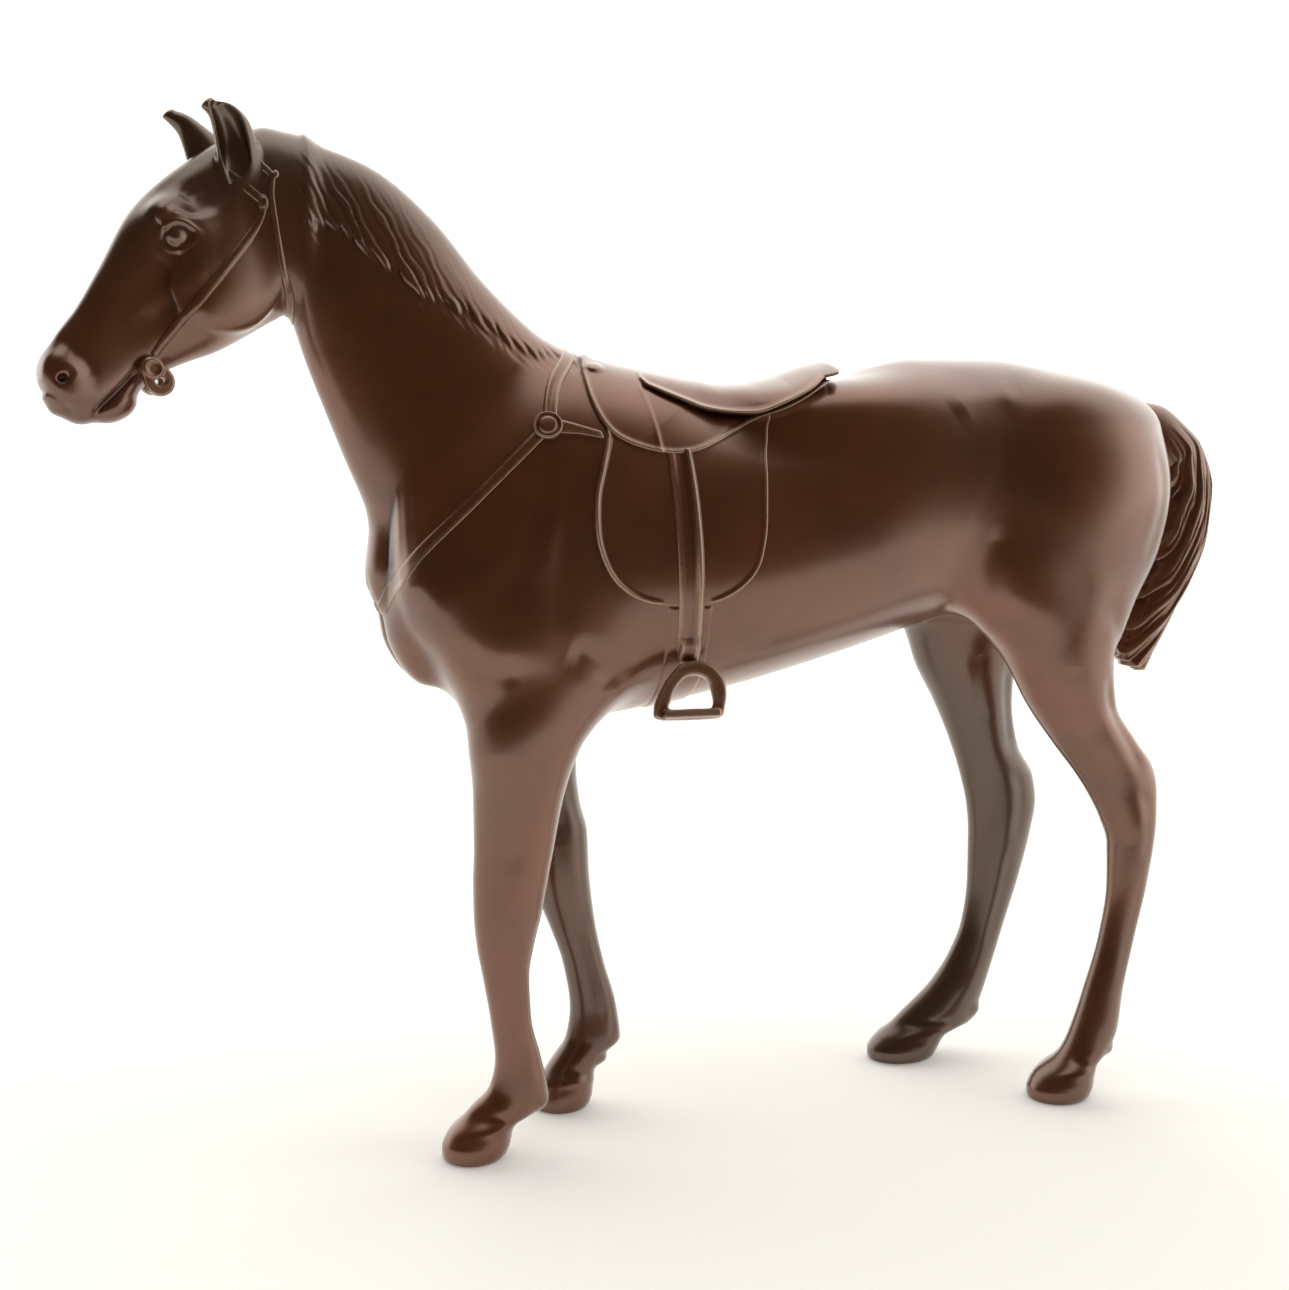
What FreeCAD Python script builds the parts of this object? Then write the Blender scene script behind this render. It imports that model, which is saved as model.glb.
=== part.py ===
# Bronze statuette of a standing saddle horse, drawn as the separate castings
# and chased pieces it is put together from.  Millimetres.  The head looks
# along -X, the horse's left side is -Y, Z is up and the soles stand on z = 0.
import FreeCAD, Part
import os
import math

V = FreeCAD.Vector
doc = FreeCAD.newDocument("standing_horse")
sheet = doc.addObject("Spreadsheet::Sheet", "Sheet")
rows_used = [0]


def cell(alias, value):
    """Put one driving number in the sheet under its own name."""
    rows_used[0] += 1
    address = "B" + str(rows_used[0])
    sheet.set("A" + str(rows_used[0]), alias)
    sheet.set(address, str(value))
    sheet.setAlias(address, alias)


def number(alias):
    """Read a driving number back, for placing pieces along a curve."""
    value = sheet.get(alias)
    return float(getattr(value, "Value", value))


# ---------------------------------------------------------------- dimensions
cell("casting_wall", 3.2)        # wall of the hollow trunk casting
cell("joint_gap", 0.1)           # clearance round every tenon
cell("panel_thick", 1.3)         # saddle panel and skirt over the back
cell("seat_thick", 4.4)          # top of the seat above the back
cell("flap_thick", 1.0)
cell("leather_thick", 1.9)       # outer face of the stirrup leather
cell("girth_thick", 0.8)
cell("strap_thick", 0.9)         # breast collar and its branches
cell("bridle_thick", 0.6)
cell("pin_radius", 0.9)
cell("tenon_length", 7.0)
cell("leg_tenon_radius", 3.6)
cell("neck_tenon_radius", 8.0)
cell("head_tenon_radius", 4.5)
cell("tail_tenon_radius", 2.4)
cell("fore_cut", 88.0)           # level where the fore legs join the trunk
cell("hind_cut", 98.0)           # level where the hind legs join the trunk
cell("boss_radius", 3.1)
cell("boss_height", 1.7)
cell("ring_radius", 2.7)
cell("ring_bore", 1.15)
cell("ring_thick", 1.6)
cell("rosette_radius", 1.5)

# Stations of every loft: the two ends of an ellipse in the side view
# (x, z lower or front end, x, z upper or rear end), half width, middle y.
STATIONS = {
    "barrel": [
        (-67.5, 111, -67.5, 123, 5, 0),
        (-64.5, 105.5, -65, 132, 11, 0),
        (-58, 98.5, -58, 141, 16.5, 0),
        (-48, 92, -46, 151, 21, 0),
        (-34, 87.5, -32, 159.5, 23.5, 0),
        (-16, 89.7, -16, 157.5, 25.5, 0),
        (6, 93.8, 6, 154.5, 26.5, 0),
        (30, 100, 30, 160, 26.5, 0),
        (50, 106, 50, 165, 26, 0),
        (68, 111, 70, 165.3, 25.5, 0),
        (84, 110, 86, 162.8, 24, 0),
        (95, 112, 98, 159.8, 20, 0),
        (102, 119, 106, 156, 13.5, 0),
        (105.5, 127, 109.8, 151.5, 8, 0),
    ],
    "neck": [
        (-69, 118.5, -24, 161.5, 18.5, 0),
        (-70.5, 132, -31, 164.4, 15, 0),
        (-73.6, 143.5, -39.5, 169.8, 12.6, 0),
        (-77.5, 153.5, -48.5, 178, 11, 0),
        (-81, 161.5, -58.5, 189.5, 9.9, 0),
        (-83.2, 167.2, -71, 199.3, 9.1, 0),
        (-84.3, 171, -86.8, 204.2, 8.5, 0),
    ],
    "head": [
        (-84.3, 171, -86.8, 204.2, 8.5, 0),
        (-87.5, 168.5, -95, 202.6, 8.7, -1.3),
        (-92.5, 165.6, -104, 197.2, 8.7, -3.6),
        (-98.6, 162.8, -113.5, 187.6, 8.1, -6.6),
        (-104.5, 160.8, -118.6, 177, 6.6, -8.4),
        (-109.5, 157.5, -122.6, 169, 5.6, -10),
        (-113.5, 151.8, -127, 163.4, 5.3, -11.4),
        (-117.5, 148.9, -129.9, 159.4, 4.9, -12.6),
        (-122.5, 147.8, -130.2, 155.9, 3.7, -13.5),
        (-125.4, 149.4, -129.7, 153.8, 2.2, -13.9),
    ],
    "fore_left": [
        (-58.4, 0, -45.4, 0, 6.4, -11.5),
        (-55.6, 6.4, -43.2, 6.4, 5.7, -11.5),
        (-52.2, 9.8, -38.2, 9.8, 4.5, -11.5),
        (-48.4, 13.4, -36.2, 13.4, 4.5, -11.5),
        (-47.1, 19.4, -37.6, 19.4, 3.9, -11.5),
        (-48, 28, -39.6, 28, 3.6, -11.6),
        (-49.5, 37, -40, 37, 3.8, -11.8),
        (-50.1, 43.5, -39, 43.5, 4.6, -12),
        (-50.5, 50, -37.3, 50, 5.6, -12.1),
        (-50.7, 57, -36, 57, 5.5, -12.3),
        (-50.7, 63.4, -34.4, 63.4, 5.7, -12.5),
        (-51.3, 73.7, -33, 73.7, 6.9, -12.9),
        (-51.6, 83, -29.8, 83, 8.3, -13.3),
        (-53, 91, -24.6, 91, 9.8, -13),
        (-57, 101, -19, 101, 10.6, -12),
        (-60, 114, -20, 114, 11, -10),
        (-58, 127, -25, 127, 10, -9),
    ],
    "fore_right": [
        (-35, 0, -22.4, 0, 6.2, 8.7),
        (-33.2, 7, -21, 7, 5.5, 8.8),
        (-30.6, 10.6, -19, 10.6, 4.5, 9),
        (-27.2, 15, -14.9, 15, 4.5, 9.3),
        (-26.2, 21.8, -15.7, 21.8, 3.9, 9.8),
        (-26.9, 32, -18.6, 32, 3.6, 10.4),
        (-28.9, 39.2, -20.2, 39.2, 3.9, 10.9),
        (-31, 45, -21.1, 45, 4.7, 11.3),
        (-33, 52, -21.8, 52, 5.4, 11.7),
        (-35, 61, -21.7, 61, 5.6, 12.2),
        (-36.8, 68, -23.3, 68, 6.2, 12.7),
        (-39, 75, -24, 75, 7, 12.9),
        (-42.5, 83, -23.5, 83, 8.3, 13.3),
        (-47, 91, -20.5, 91, 9.8, 13),
        (-54, 101, -18.5, 101, 10.6, 12),
        (-59, 114, -20, 114, 11, 10),
        (-58, 127, -25, 127, 10, 9),
    ],
    "hind_left": [
        (72.8, 0, 87.2, 0, 6.6, -18.2),
        (76.8, 6.6, 88.8, 6.6, 5.8, -18.2),
        (81.6, 10, 91.6, 10, 4.6, -18.1),
        (84.1, 15, 94.5, 15, 4.6, -18),
        (87.3, 24, 96.2, 24, 3.9, -17.8),
        (90.9, 35.6, 99.1, 35.6, 3.5, -17.4),
        (92.3, 47, 102.2, 47, 4, -17),
        (92, 56, 104, 56, 4.8, -16.6),
        (89.8, 62.2, 104.8, 62.2, 5.1, -16.3),
        (86.8, 68, 104.9, 68, 5.1, -16),
        (83.3, 73, 103.8, 73, 5.3, -15.8),
        (78.4, 79.7, 98.8, 79.7, 5.9, -15.6),
        (72.6, 89, 93.6, 89, 7.3, -15.3),
        (68.4, 96.7, 92.6, 96.7, 8.8, -15),
        (62.5, 106, 97, 106, 10.4, -14.4),
        (57.5, 114, 99, 114, 11.8, -13.4),
        (56, 124, 103, 124, 12.6, -12.6),
        (59, 136, 105, 136, 12.2, -12),
        (66, 148, 101, 148, 9.5, -11.5),
    ],
    "hind_right": [
        (48.6, 0, 65.8, 0, 6.9, 14.2),
        (52.4, 6.2, 69.2, 6.2, 5.9, 14.2),
        (56.8, 10.4, 76.8, 10.4, 4.6, 14.3),
        (62.2, 14, 78.8, 14, 4.6, 14.4),
        (68, 20.4, 80.9, 20.4, 4, 14.5),
        (73.2, 30, 84.2, 30, 3.6, 14.6),
        (75.1, 42.2, 88.4, 42.2, 4.1, 14.8),
        (75.3, 54, 91.6, 54, 4.9, 15),
        (74.5, 60.5, 92.8, 60.5, 5.2, 15),
        (73, 67.5, 91.7, 67.5, 5.3, 15),
        (70.2, 75.6, 87.2, 75.6, 5.7, 15),
        (65.3, 86.7, 85.4, 86.7, 7.2, 15),
        (60.4, 96, 86, 96, 8.8, 15),
        (57.5, 105, 91, 105, 10.4, 14.4),
        (54.5, 114, 96.5, 114, 11.8, 13.4),
        (54.5, 124, 102, 124, 12.6, 12.6),
        (59, 136, 105, 136, 12.2, 12),
        (66, 148, 101, 148, 9.5, 11.5),
    ],
    "tail": [
        (106.6, 146, 111.2, 157.2, 4.0, 0),
        (111.6, 143.8, 119.6, 154.2, 4.6, 0),
        (114.6, 140.2, 126.4, 148, 5.0, 0),
        (115.4, 134.4, 129.9, 137, 5.4, 0),
        (114.6, 127, 128.9, 126, 5.5, 0),
        (111, 116.2, 123.9, 114.6, 5.4, 0),
        (107.2, 105.8, 117.2, 103.6, 4.7, 0),
        (105.4, 98.6, 112.4, 95.2, 3.1, 0),
    ],
    "ear_left": [
        (-97.2, 195.2, -90.4, 197.6, 2.6, -7.4),
        (-98.4, 199.8, -91.6, 201.6, 2.7, -8.4),
        (-99.4, 203.4, -94.2, 205.2, 2.0, -9.0),
        (-99.8, 205.2, -97.0, 206.4, 0.8, -9.3),
    ],
    "ear_right": [
        (-101.4, 198.6, -94.8, 200.8, 2.6, 1.4),
        (-103.0, 201.8, -97.2, 203.4, 2.7, 2.0),
        (-104.8, 205.2, -100.6, 206.4, 2.0, 2.4),
        (-105.6, 207.6, -103.4, 208.4, 0.8, 2.6),
    ],
}
KEYS = ("xa", "za", "xb", "zb", "half", "mid")

for limb_name in STATIONS:
    for index, station in enumerate(STATIONS[limb_name]):
        for key, value in zip(KEYS, station):
            cell(limb_name + "_" + str(index) + "_" + key, value)
doc.recompute()


# ------------------------------------------------------------------- helpers
def loft(label, limb_name, grow="", first=0, last=None):
    """Loft through a limb's ellipses, each ellipse bound to its cells."""
    rings = []
    count = len(STATIONS[limb_name])
    for index in range(first, count if last is None else last):
        cells = "Sheet." + limb_name + "_" + str(index) + "_"
        ring = doc.addObject("Part::Ellipse", label + "_ring_" + str(index))
        ring.Placement = FreeCAD.Placement(V(), FreeCAD.Rotation(V(0, 1, 0), 10))
        span = "sqrt(({0}xb - {0}xa)^2 + ({0}zb - {0}za)^2) / 2".format(cells)
        ring.setExpression("MajorRadius", span + grow)
        ring.setExpression("MinorRadius", cells + "half" + grow)
        middle = "({0}xa + {0}xb) / 2".format(cells)
        ring.setExpression(".Placement.Base.x", middle)
        ring.setExpression(".Placement.Base.y", cells + "mid")
        ring.setExpression(".Placement.Base.z", middle.replace("x", "z"))
        lean = "-atan2({0}zb - {0}za; {0}xb - {0}xa)".format(cells)
        ring.setExpression(".Placement.Rotation.Angle", lean)
        rings.append(ring)
    body = doc.addObject("Part::Loft", label)
    body.Sections = rings
    body.Solid = True
    body.Ruled = False
    return body


def box(label, x0, x1, y0, y1, z0, z1):
    """Upright box between two corners."""
    block = doc.addObject("Part::Box", label)
    block.Length = x1 - x0
    block.Width = y1 - y0
    block.Height = z1 - z0
    block.Placement.Base = V(x0, y0, z0)
    return block


def rod(label, radius, start, direction, length):
    """Cylinder of a named or given radius from a point along a direction."""
    bar = doc.addObject("Part::Cylinder", label)
    if isinstance(radius, str):
        bar.setExpression("Radius", radius)
    else:
        bar.Radius = radius
    bar.Height = length
    turn = FreeCAD.Rotation(V(0, 0, 1), V(*direction))
    bar.Placement = FreeCAD.Placement(V(*start), turn)
    return bar


def fuse(label, pieces):
    whole = doc.addObject("Part::MultiFuse", label)
    whole.Shapes = pieces
    return whole


def common(label, first, second):
    both = doc.addObject("Part::Common", label)
    both.Base = first
    both.Tool = second
    return both


def cut(label, base, tool):
    rest = doc.addObject("Part::Cut", label)
    rest.Base = base
    rest.Tool = tool
    return rest


def cut_all(label, base, tools):
    """Take several tools off one base, one cut after the other."""
    rest = base
    for index, tool in enumerate(tools):
        last = index == len(tools) - 1
        rest = cut(label if last else label + "_step_" + str(index), rest, tool)
    return rest


def outline(label, points, y0, y1, smooth=True):
    """Side-view outline (x, z points) drawn out sideways from y0 to y1."""
    corners = [V(x, y0, z) for x, z in points]
    if smooth:
        curve = Part.BSplineCurve()
        curve.interpolate(Points=corners, PeriodicFlag=True)
        wire = Part.Wire([curve.toShape()])
    else:
        wire = Part.makePolygon(corners + corners[:1])
    edge = doc.addObject("Part::Feature", label + "_edge")
    edge.Shape = wire
    prism = doc.addObject("Part::Extrusion", label)
    prism.Base = edge
    prism.DirMode = "Custom"
    prism.Dir = V(0, 1, 0)
    prism.LengthFwd = y1 - y0
    prism.Solid = True
    return prism


def strip(label, start, end, width, y0, y1, trim=0.0):
    """Outline of a straight strap between two side-view points, its first
    end held back by the trim."""
    run = V(end[0] - start[0], 0, end[1] - start[1])
    start = (start[0] + run.x * trim / run.Length, start[1] + run.z * trim / run.Length)
    side = V(-run.z, 0, run.x).normalize() * (width / 2.0)
    points = [
        (start[0] + side.x, start[1] + side.z),
        (end[0] + side.x, end[1] + side.z),
        (end[0] - side.x, end[1] - side.z),
        (start[0] - side.x, start[1] - side.z),
    ]
    return outline(label, points, y0, y1, smooth=False)


def limb_with_hoof(limb_name):
    """A leg: the hoof is a straight cone, the limb above it a smooth loft."""
    hoof = loft(limb_name + "_hoof", limb_name, "", 0, 2)
    shank = loft(limb_name + "_shank", limb_name, "", 1)
    return fuse(limb_name + "_whole", [hoof, shank])


# --------------------------------------------------------- the bronze shapes
barrel = loft("barrel_skin", "barrel")
fore_left = limb_with_hoof("fore_left")
fore_right = limb_with_hoof("fore_right")
hind_left = limb_with_hoof("hind_left")
hind_right = limb_with_hoof("hind_right")
neck_skin = fuse("neck_skin", [loft("neck_lower", "neck", "", 0, 6),
                               loft("neck_upper", "neck", "", 5, 7)])
head_skin = loft("head_skin", "head")

# The neck joint is a slanted plane through the first neck station.
chest_x = number("neck_0_xa")
chest_z = number("neck_0_za")
slope = math.degrees(math.atan2(number("neck_0_zb") - chest_z,
                                number("neck_0_xb") - chest_x))
above = box("above_joint", -60, 140, -60, 60, 0, 120)
above.Placement = FreeCAD.Placement(V(chest_x, 0, chest_z),
                                    FreeCAD.Rotation(V(0, 1, 0), -slope))
above.Placement.Base = V(chest_x, 0, chest_z) - above.Placement.Rotation.multVec(V(60, 60, 0))


def trunk_part(label, limb, level):
    """The upper end of a leg that is cast with the trunk."""
    block = box(label + "_box", -80, 130, -60, 60, 0, 100)
    block.setExpression(".Placement.Base.z", level)
    return common(label, limb, block)


stumps = [
    trunk_part("fore_left_stump", fore_left, "Sheet.fore_cut"),
    trunk_part("fore_right_stump", fore_right, "Sheet.fore_cut"),
    trunk_part("hind_left_stump", hind_left, "Sheet.hind_cut"),
    trunk_part("hind_right_stump", hind_right, "Sheet.hind_cut"),
]
trunk_solid = fuse("trunk_solid", [barrel] + stumps)
trunk_front = cut("trunk_front", trunk_solid, above)

joint_mid = V((chest_x + number("neck_0_xb")) / 2, 0, (chest_z + number("neck_0_zb")) / 2)
into_trunk = V(math.sin(math.radians(slope)), 0, -math.cos(math.radians(slope)))
core = loft("core", "barrel", " - Sheet.casting_wall", 4, 11)
neck_socket = rod("neck_socket", "Sheet.neck_tenon_radius + Sheet.joint_gap",
                  joint_mid, into_trunk, 26)
neck_tenon = rod("neck_tenon", "Sheet.neck_tenon_radius", joint_mid - into_trunk, into_trunk, 11)

# Legs: tenon on top, socket in the trunk, cross pin through both.
LEGS = {
    "fore_leg_left": (fore_left, "Sheet.fore_cut", -38.5, -13.2),
    "fore_leg_right": (fore_right, "Sheet.fore_cut", -33.5, 13.2),
    "hind_leg_left": (hind_left, "Sheet.hind_cut", 81.5, -15),
    "hind_leg_right": (hind_right, "Sheet.hind_cut", 74.5, 15),
}
trunk_holes = [neck_socket, core]
finished = {}
for leg_name, (limb, level, tenon_x, tenon_y) in LEGS.items():
    below = box(leg_name + "_box", -80, 130, -60, 60, 0, 98)
    below.setExpression("Height", level)
    lower = common(leg_name + "_lower", limb, below)
    tenon = rod(leg_name + "_tenon", "Sheet.leg_tenon_radius", (tenon_x, tenon_y, 0), (0, 0, 1), 8)
    tenon.setExpression(".Placement.Base.z", level + " - 1")
    tenon.setExpression("Height", "Sheet.tenon_length + 1")
    socket = rod(leg_name + "_socket", "Sheet.leg_tenon_radius + Sheet.joint_gap",
                 (tenon_x, tenon_y, 0), (0, 0, 1), 8)
    socket.setExpression(".Placement.Base.z", level)
    socket.setExpression("Height", "Sheet.tenon_length + Sheet.joint_gap")
    side = -1 if tenon_y < 0 else 1
    drill = rod(leg_name + "_drill", "Sheet.pin_radius", (tenon_x, 0, 0), (0, side, 0), 34)
    drill.setExpression(".Placement.Base.z", level + " + Sheet.tenon_length / 2")
    drill.Placement.Base.y = tenon_y - side * 6
    finished[leg_name] = cut(leg_name, fuse(leg_name + "_cast", [lower, tenon]), drill)
    finished[leg_name.replace("leg", "pin")] = common(leg_name.replace("leg", "pin"),
                                                      drill, trunk_solid)
    trunk_holes.append(socket)
    trunk_holes.append(drill)

# Tail: tenon into the dock.
tail_skin = loft("tail_skin", "tail")
dock = V(109.5, 0, 150.5)
dock_run = V(-0.94, 0, -0.34).normalize()
tail_tenon = rod("tail_tenon", "Sheet.tail_tenon_radius", dock - dock_run * 3, dock_run, 10)
tail_socket = rod("tail_socket", "Sheet.tail_tenon_radius + Sheet.joint_gap",
                  dock - dock_run * 3, dock_run, 10.3)
tail_drill = rod("tail_drill", "Sheet.pin_radius", (104.6, -20, 148.8), (0, 1, 0), 40)
trunk_dock = cut("trunk_dock", trunk_front, tail_socket)
trunk_holes.append(tail_drill)

# Head: tenon into the neck at the throat latch.
poll_mid = V(-85.5, 0, 187.6)
head_run = V(1, 0, 0)
head_tenon = rod("head_tenon", "Sheet.head_tenon_radius", poll_mid - head_run * 2, head_run, 11)
head_socket = rod("head_socket", "Sheet.head_tenon_radius + Sheet.joint_gap",
                  poll_mid - head_run * 6, head_run, 15.3)
head_drill = rod("head_drill", "Sheet.pin_radius", (-80, -14, 187.6), (0, 1, 0), 28)
neck_drill = rod("neck_drill", "Sheet.pin_radius", joint_mid + into_trunk * 5 - V(0, 30, 0),
                 (0, 1, 0), 60)
trunk_holes.append(neck_drill)

finished["torso"] = cut_all("torso", trunk_dock, trunk_holes)
finished["tail"] = cut_all("tail", fuse("tail_cast", [tail_skin, tail_tenon]),
                           [trunk_dock, tail_drill])
finished["tail_pin"] = common("tail_pin", tail_drill, trunk_front)
finished["neck"] = cut_all("neck", fuse("neck_cast", [neck_skin, neck_tenon]),
                           [head_socket, head_drill, neck_drill])
finished["neck_pin"] = common("neck_pin", neck_drill, trunk_front)
finished["head_pin"] = common("head_pin", head_drill, neck_skin)
finished["head"] = cut("head", fuse("head_cast", [head_skin, head_tenon]), head_drill)

for side in ("left", "right"):
    ear_skin = loft("ear_" + side + "_skin", "ear_" + side)
    finished["ear_" + side] = cut("ear_" + side, ear_skin, head_skin)

# ------------------------------------------------------------------ the tack
panel_shell = loft("panel_shell", "barrel", " + Sheet.panel_thick", 3, 10)
seat_shell = loft("seat_shell", "barrel", " + Sheet.seat_thick", 3, 10)
flap_shell = loft("flap_shell", "barrel", " + Sheet.flap_thick", 3, 10)
leather_shell = loft("leather_shell", "barrel", " + Sheet.leather_thick", 3, 10)
girth_shell = loft("girth_shell", "barrel", " + Sheet.girth_thick", 3, 10)

seat_side = outline("seat_side", [
    (-22.5, 162.5), (-24.5, 159), (-20, 156.6), (-9.7, 153.6), (-1.3, 151.6),
    (5.2, 151.4), (13.9, 154), (20.5, 157.8), (26, 160), (29.8, 161.5), (29.4, 164.2),
    (23.5, 163.2), (14.2, 160.4), (0.6, 158.9), (-12.8, 160.6)], -32, 32)
skirt_side = outline("skirt_side", [
    (-24, 164), (-28.6, 160.5), (-28.4, 154), (-25.5, 148.1), (-19.8, 144.6), (-13, 143.2),
    (-6, 143.8), (0, 146.2), (7, 149.8), (14, 152.2), (20, 156), (26, 160), (24, 166),
    (0, 168)], -32, 32)
FLAP = [(-27.6, 144.5), (-29.4, 137.4), (-29.4, 127), (-27.2, 118.6), (-21.4, 114.2),
        (-14.9, 112.4), (-6.7, 113.2), (0.4, 116.8), (4.4, 121.6), (5.6, 130), (6.6, 140),
        (8.4, 149.5), (-8, 152), (-24, 151)]

finished["saddle_skirt"] = cut_all("saddle_skirt", common("skirt_blank", panel_shell, skirt_side),
                                   [barrel, neck_skin])
seat_blank = common("seat_blank", seat_shell, seat_side)
finished["saddle_seat"] = cut_all("saddle_seat", seat_blank, [panel_shell, neck_skin])

for side, y0, y1 in (("left", -40, 0), ("right", 0, 40)):
    flap_side = outline("flap_" + side + "_side", FLAP, y0, y1)
    blank = common("flap_" + side + "_blank", flap_shell, flap_side)
    finished["flap_" + side] = cut_all("flap_" + side, blank, [trunk_solid, skirt_side])
    run = strip("leather_" + side + "_side", (-11.2, 145), (-7.4, 100), 3.2, y0, y1)
    blank = common("leather_" + side + "_blank", leather_shell, run)
    finished["stirrup_leather_" + side] = cut_all("stirrup_leather_" + side, blank,
                                                  [flap_shell, panel_shell, skirt_side])

girth_side = strip("girth_side", (-8.9, 124), (-6, 80), 8.9, -40, 40)
flap_span = outline("flap_span", FLAP, -40, 40)
finished["girth"] = cut_all("girth", common("girth_blank", girth_shell, girth_side),
                            [trunk_solid, flap_span])


def iron(name, side):
    """Stirrup iron: a flat arch with a broad tread, hung from its leather."""
    body = doc.addObject("PartDesign::Body", name)
    body.Label = name
    plane = [f for f in body.Origin.OriginFeatures if f.Role == "XZ_Plane"][0]
    shape = body.newObject("Sketcher::SketchObject", name + "_arch")
    shape.AttachmentSupport = [(plane, "")]
    shape.MapMode = "FlatFace"
    loops = (
        [(-7.3, -5.6), (7.3, -5.6), (7.6, -1.5), (6.2, 2.8), (2.6, 5.6), (-2.6, 5.6),
         (-6.2, 2.8), (-7.6, -1.5)],
        [(-5.2, -3.9), (5.2, -3.9), (5.5, -1.2), (4.4, 1.7), (1.8, 3.6), (-1.8, 3.6),
         (-4.4, 1.7), (-5.5, -1.2)],
    )
    for loop in loops:
        for k in range(len(loop)):
            start = V(loop[k][0], loop[k][1], 0)
            end = V(loop[(k + 1) % len(loop)][0], loop[(k + 1) % len(loop)][1], 0)
            shape.addGeometry(Part.LineSegment(start, end), False)
    arch = body.newObject("PartDesign::Pad", name + "_pad")
    arch.Profile = shape
    arch.Length = 1.8
    arch.Midplane = True
    tread = body.newObject("Sketcher::SketchObject", name + "_tread")
    tread.AttachmentSupport = [(plane, "")]
    tread.MapMode = "FlatFace"
    corners = [(-7.3, -5.6), (7.3, -5.6), (7.3, -4.1), (-7.3, -4.1)]
    for k in range(4):
        start = V(corners[k][0], corners[k][1], 0)
        end = V(corners[(k + 1) % 4][0], corners[(k + 1) % 4][1], 0)
        tread.addGeometry(Part.LineSegment(start, end), False)
    bar = body.newObject("PartDesign::Pad", name + "_bar")
    bar.Profile = tread
    bar.Length = 4.4
    bar.Midplane = True
    body.Placement = FreeCAD.Placement(V(-8.7, side * 22.6, 95.4),
                                       FreeCAD.Rotation(V(1, 0, 0), side * 14))
    return body


finished["stirrup_iron_left"] = iron("stirrup_iron_left", -1)
finished["stirrup_iron_right"] = iron("stirrup_iron_right", 1)

# Breast collar, its branches and its two studs.
strap_barrel = loft("strap_barrel", "barrel", " + Sheet.strap_thick", 0, 8)
strap_neck = loft("strap_neck", "neck", " + Sheet.strap_thick", 0, 4)
strap_shoulders = [loft("strap_fore_left", "fore_left", " + Sheet.strap_thick", 12, 17),
                   loft("strap_fore_right", "fore_right", " + Sheet.strap_thick", 12, 17)]
strap_skin = fuse("strap_skin", [strap_barrel, strap_neck] + strap_shoulders)
boss_at = (-36.6, 147.4)
for side, sign in (("left", -1), ("right", 1)):
    way = V(-0.28, sign * 0.82, 0.5).normalize()
    foot = V(boss_at[0], sign * 18, boss_at[1]) - way * 3
    stud = rod("stud_" + side, "Sheet.boss_radius", foot, way, 5.2)
    finished["collar_boss_" + side] = cut_all("collar_boss_" + side, stud,
                                              [trunk_solid, neck_skin])
collar_side = strip("collar_side", boss_at, (-74, 112.4), 3.4, -40, 40, 3.3)
withers_side = strip("withers_side", boss_at, (-24.5, 168), 3.0, -40, 40, 3.3)
bare = [trunk_solid, neck_skin, skirt_side]
finished["breast_collar"] = cut_all("breast_collar", common("collar_blank", strap_skin, collar_side),
                                    bare)
finished["withers_strap"] = cut_all("withers_strap",
                                    common("withers_blank", strap_skin, withers_side), bare)
for side, y0, y1 in (("left", -40, 0), ("right", 0, 40)):
    link = strip("link_" + side + "_side", boss_at, (-22, 146), 2.6, y0, y1, 3.3)
    blank = common("link_" + side + "_blank", strap_skin, link)
    finished["saddle_strap_" + side] = cut_all("saddle_strap_" + side, blank,
                                               bare + [flap_span])

# Bridle: crown and throat latch, cheek straps, rosettes and bit rings.
bridle_head = loft("bridle_head", "head", " + Sheet.bridle_thick", 0, 8)
bridle_neck = loft("bridle_neck", "neck", " + Sheet.bridle_thick", 5, 7)
bridle_skin = fuse("bridle_skin", [bridle_head, bridle_neck])
latch_side = outline("latch_side", [
    (-86.6, 208), (-84.6, 208), (-86.2, 196), (-86.2, 188), (-83.8, 176), (-82.6, 166),
    (-84.4, 166), (-86, 176), (-88.4, 188), (-88.4, 196)], -20, 20, smooth=False)
rosettes = []
bits = []
for side, sign in (("left", -1), ("right", 1)):
    at = V(-90.2, -1.0 + sign * 7, 187)
    rosette = rod("rosette_" + side + "_blank", "Sheet.rosette_radius", at, (0, sign, 0), 2.7)
    rosettes.append(rosette)
    finished["rosette_" + side] = cut_all("rosette_" + side, rosette, [head_skin, neck_skin])
    middle = V(-110.4, -8.1 + sign * 4.9, 154.4)
    disc = rod("ring_" + side + "_disc", "Sheet.ring_radius", middle, (0, sign, 0), 1.6)
    disc.setExpression("Height", "Sheet.ring_thick")
    lug = box("ring_" + side + "_lug", -115.6, -110.6, 0, 1.6, 153.6, 157.6)
    lug.Placement.Base.y = middle.y if sign > 0 else middle.y - 1.6
    bore = rod("ring_" + side + "_bore", "Sheet.ring_bore", middle - V(0, sign * 5, 0),
               (0, sign, 0), 12)
    ring = cut_all("bit_" + side, fuse("ring_" + side + "_fused", [disc, lug]), [bore, head_skin])
    bits += [disc, lug]
    finished["bit_" + side] = ring
finished["throat_latch"] = cut_all("throat_latch", common("latch_blank", bridle_skin, latch_side),
                                   [head_skin, neck_skin] + rosettes)
for side, y0, y1 in (("left", -20, -3.5), ("right", -3.5, 20)):
    run = strip("cheek_" + side + "_side", (-90.2, 187), (-109.4, 158), 1.7, y0, y1)
    blank = common("cheek_" + side + "_blank", bridle_head, run)
    finished["cheek_strap_" + side] = cut_all("cheek_strap_" + side, blank,
                                              [head_skin, latch_side] + rosettes + bits)

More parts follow.
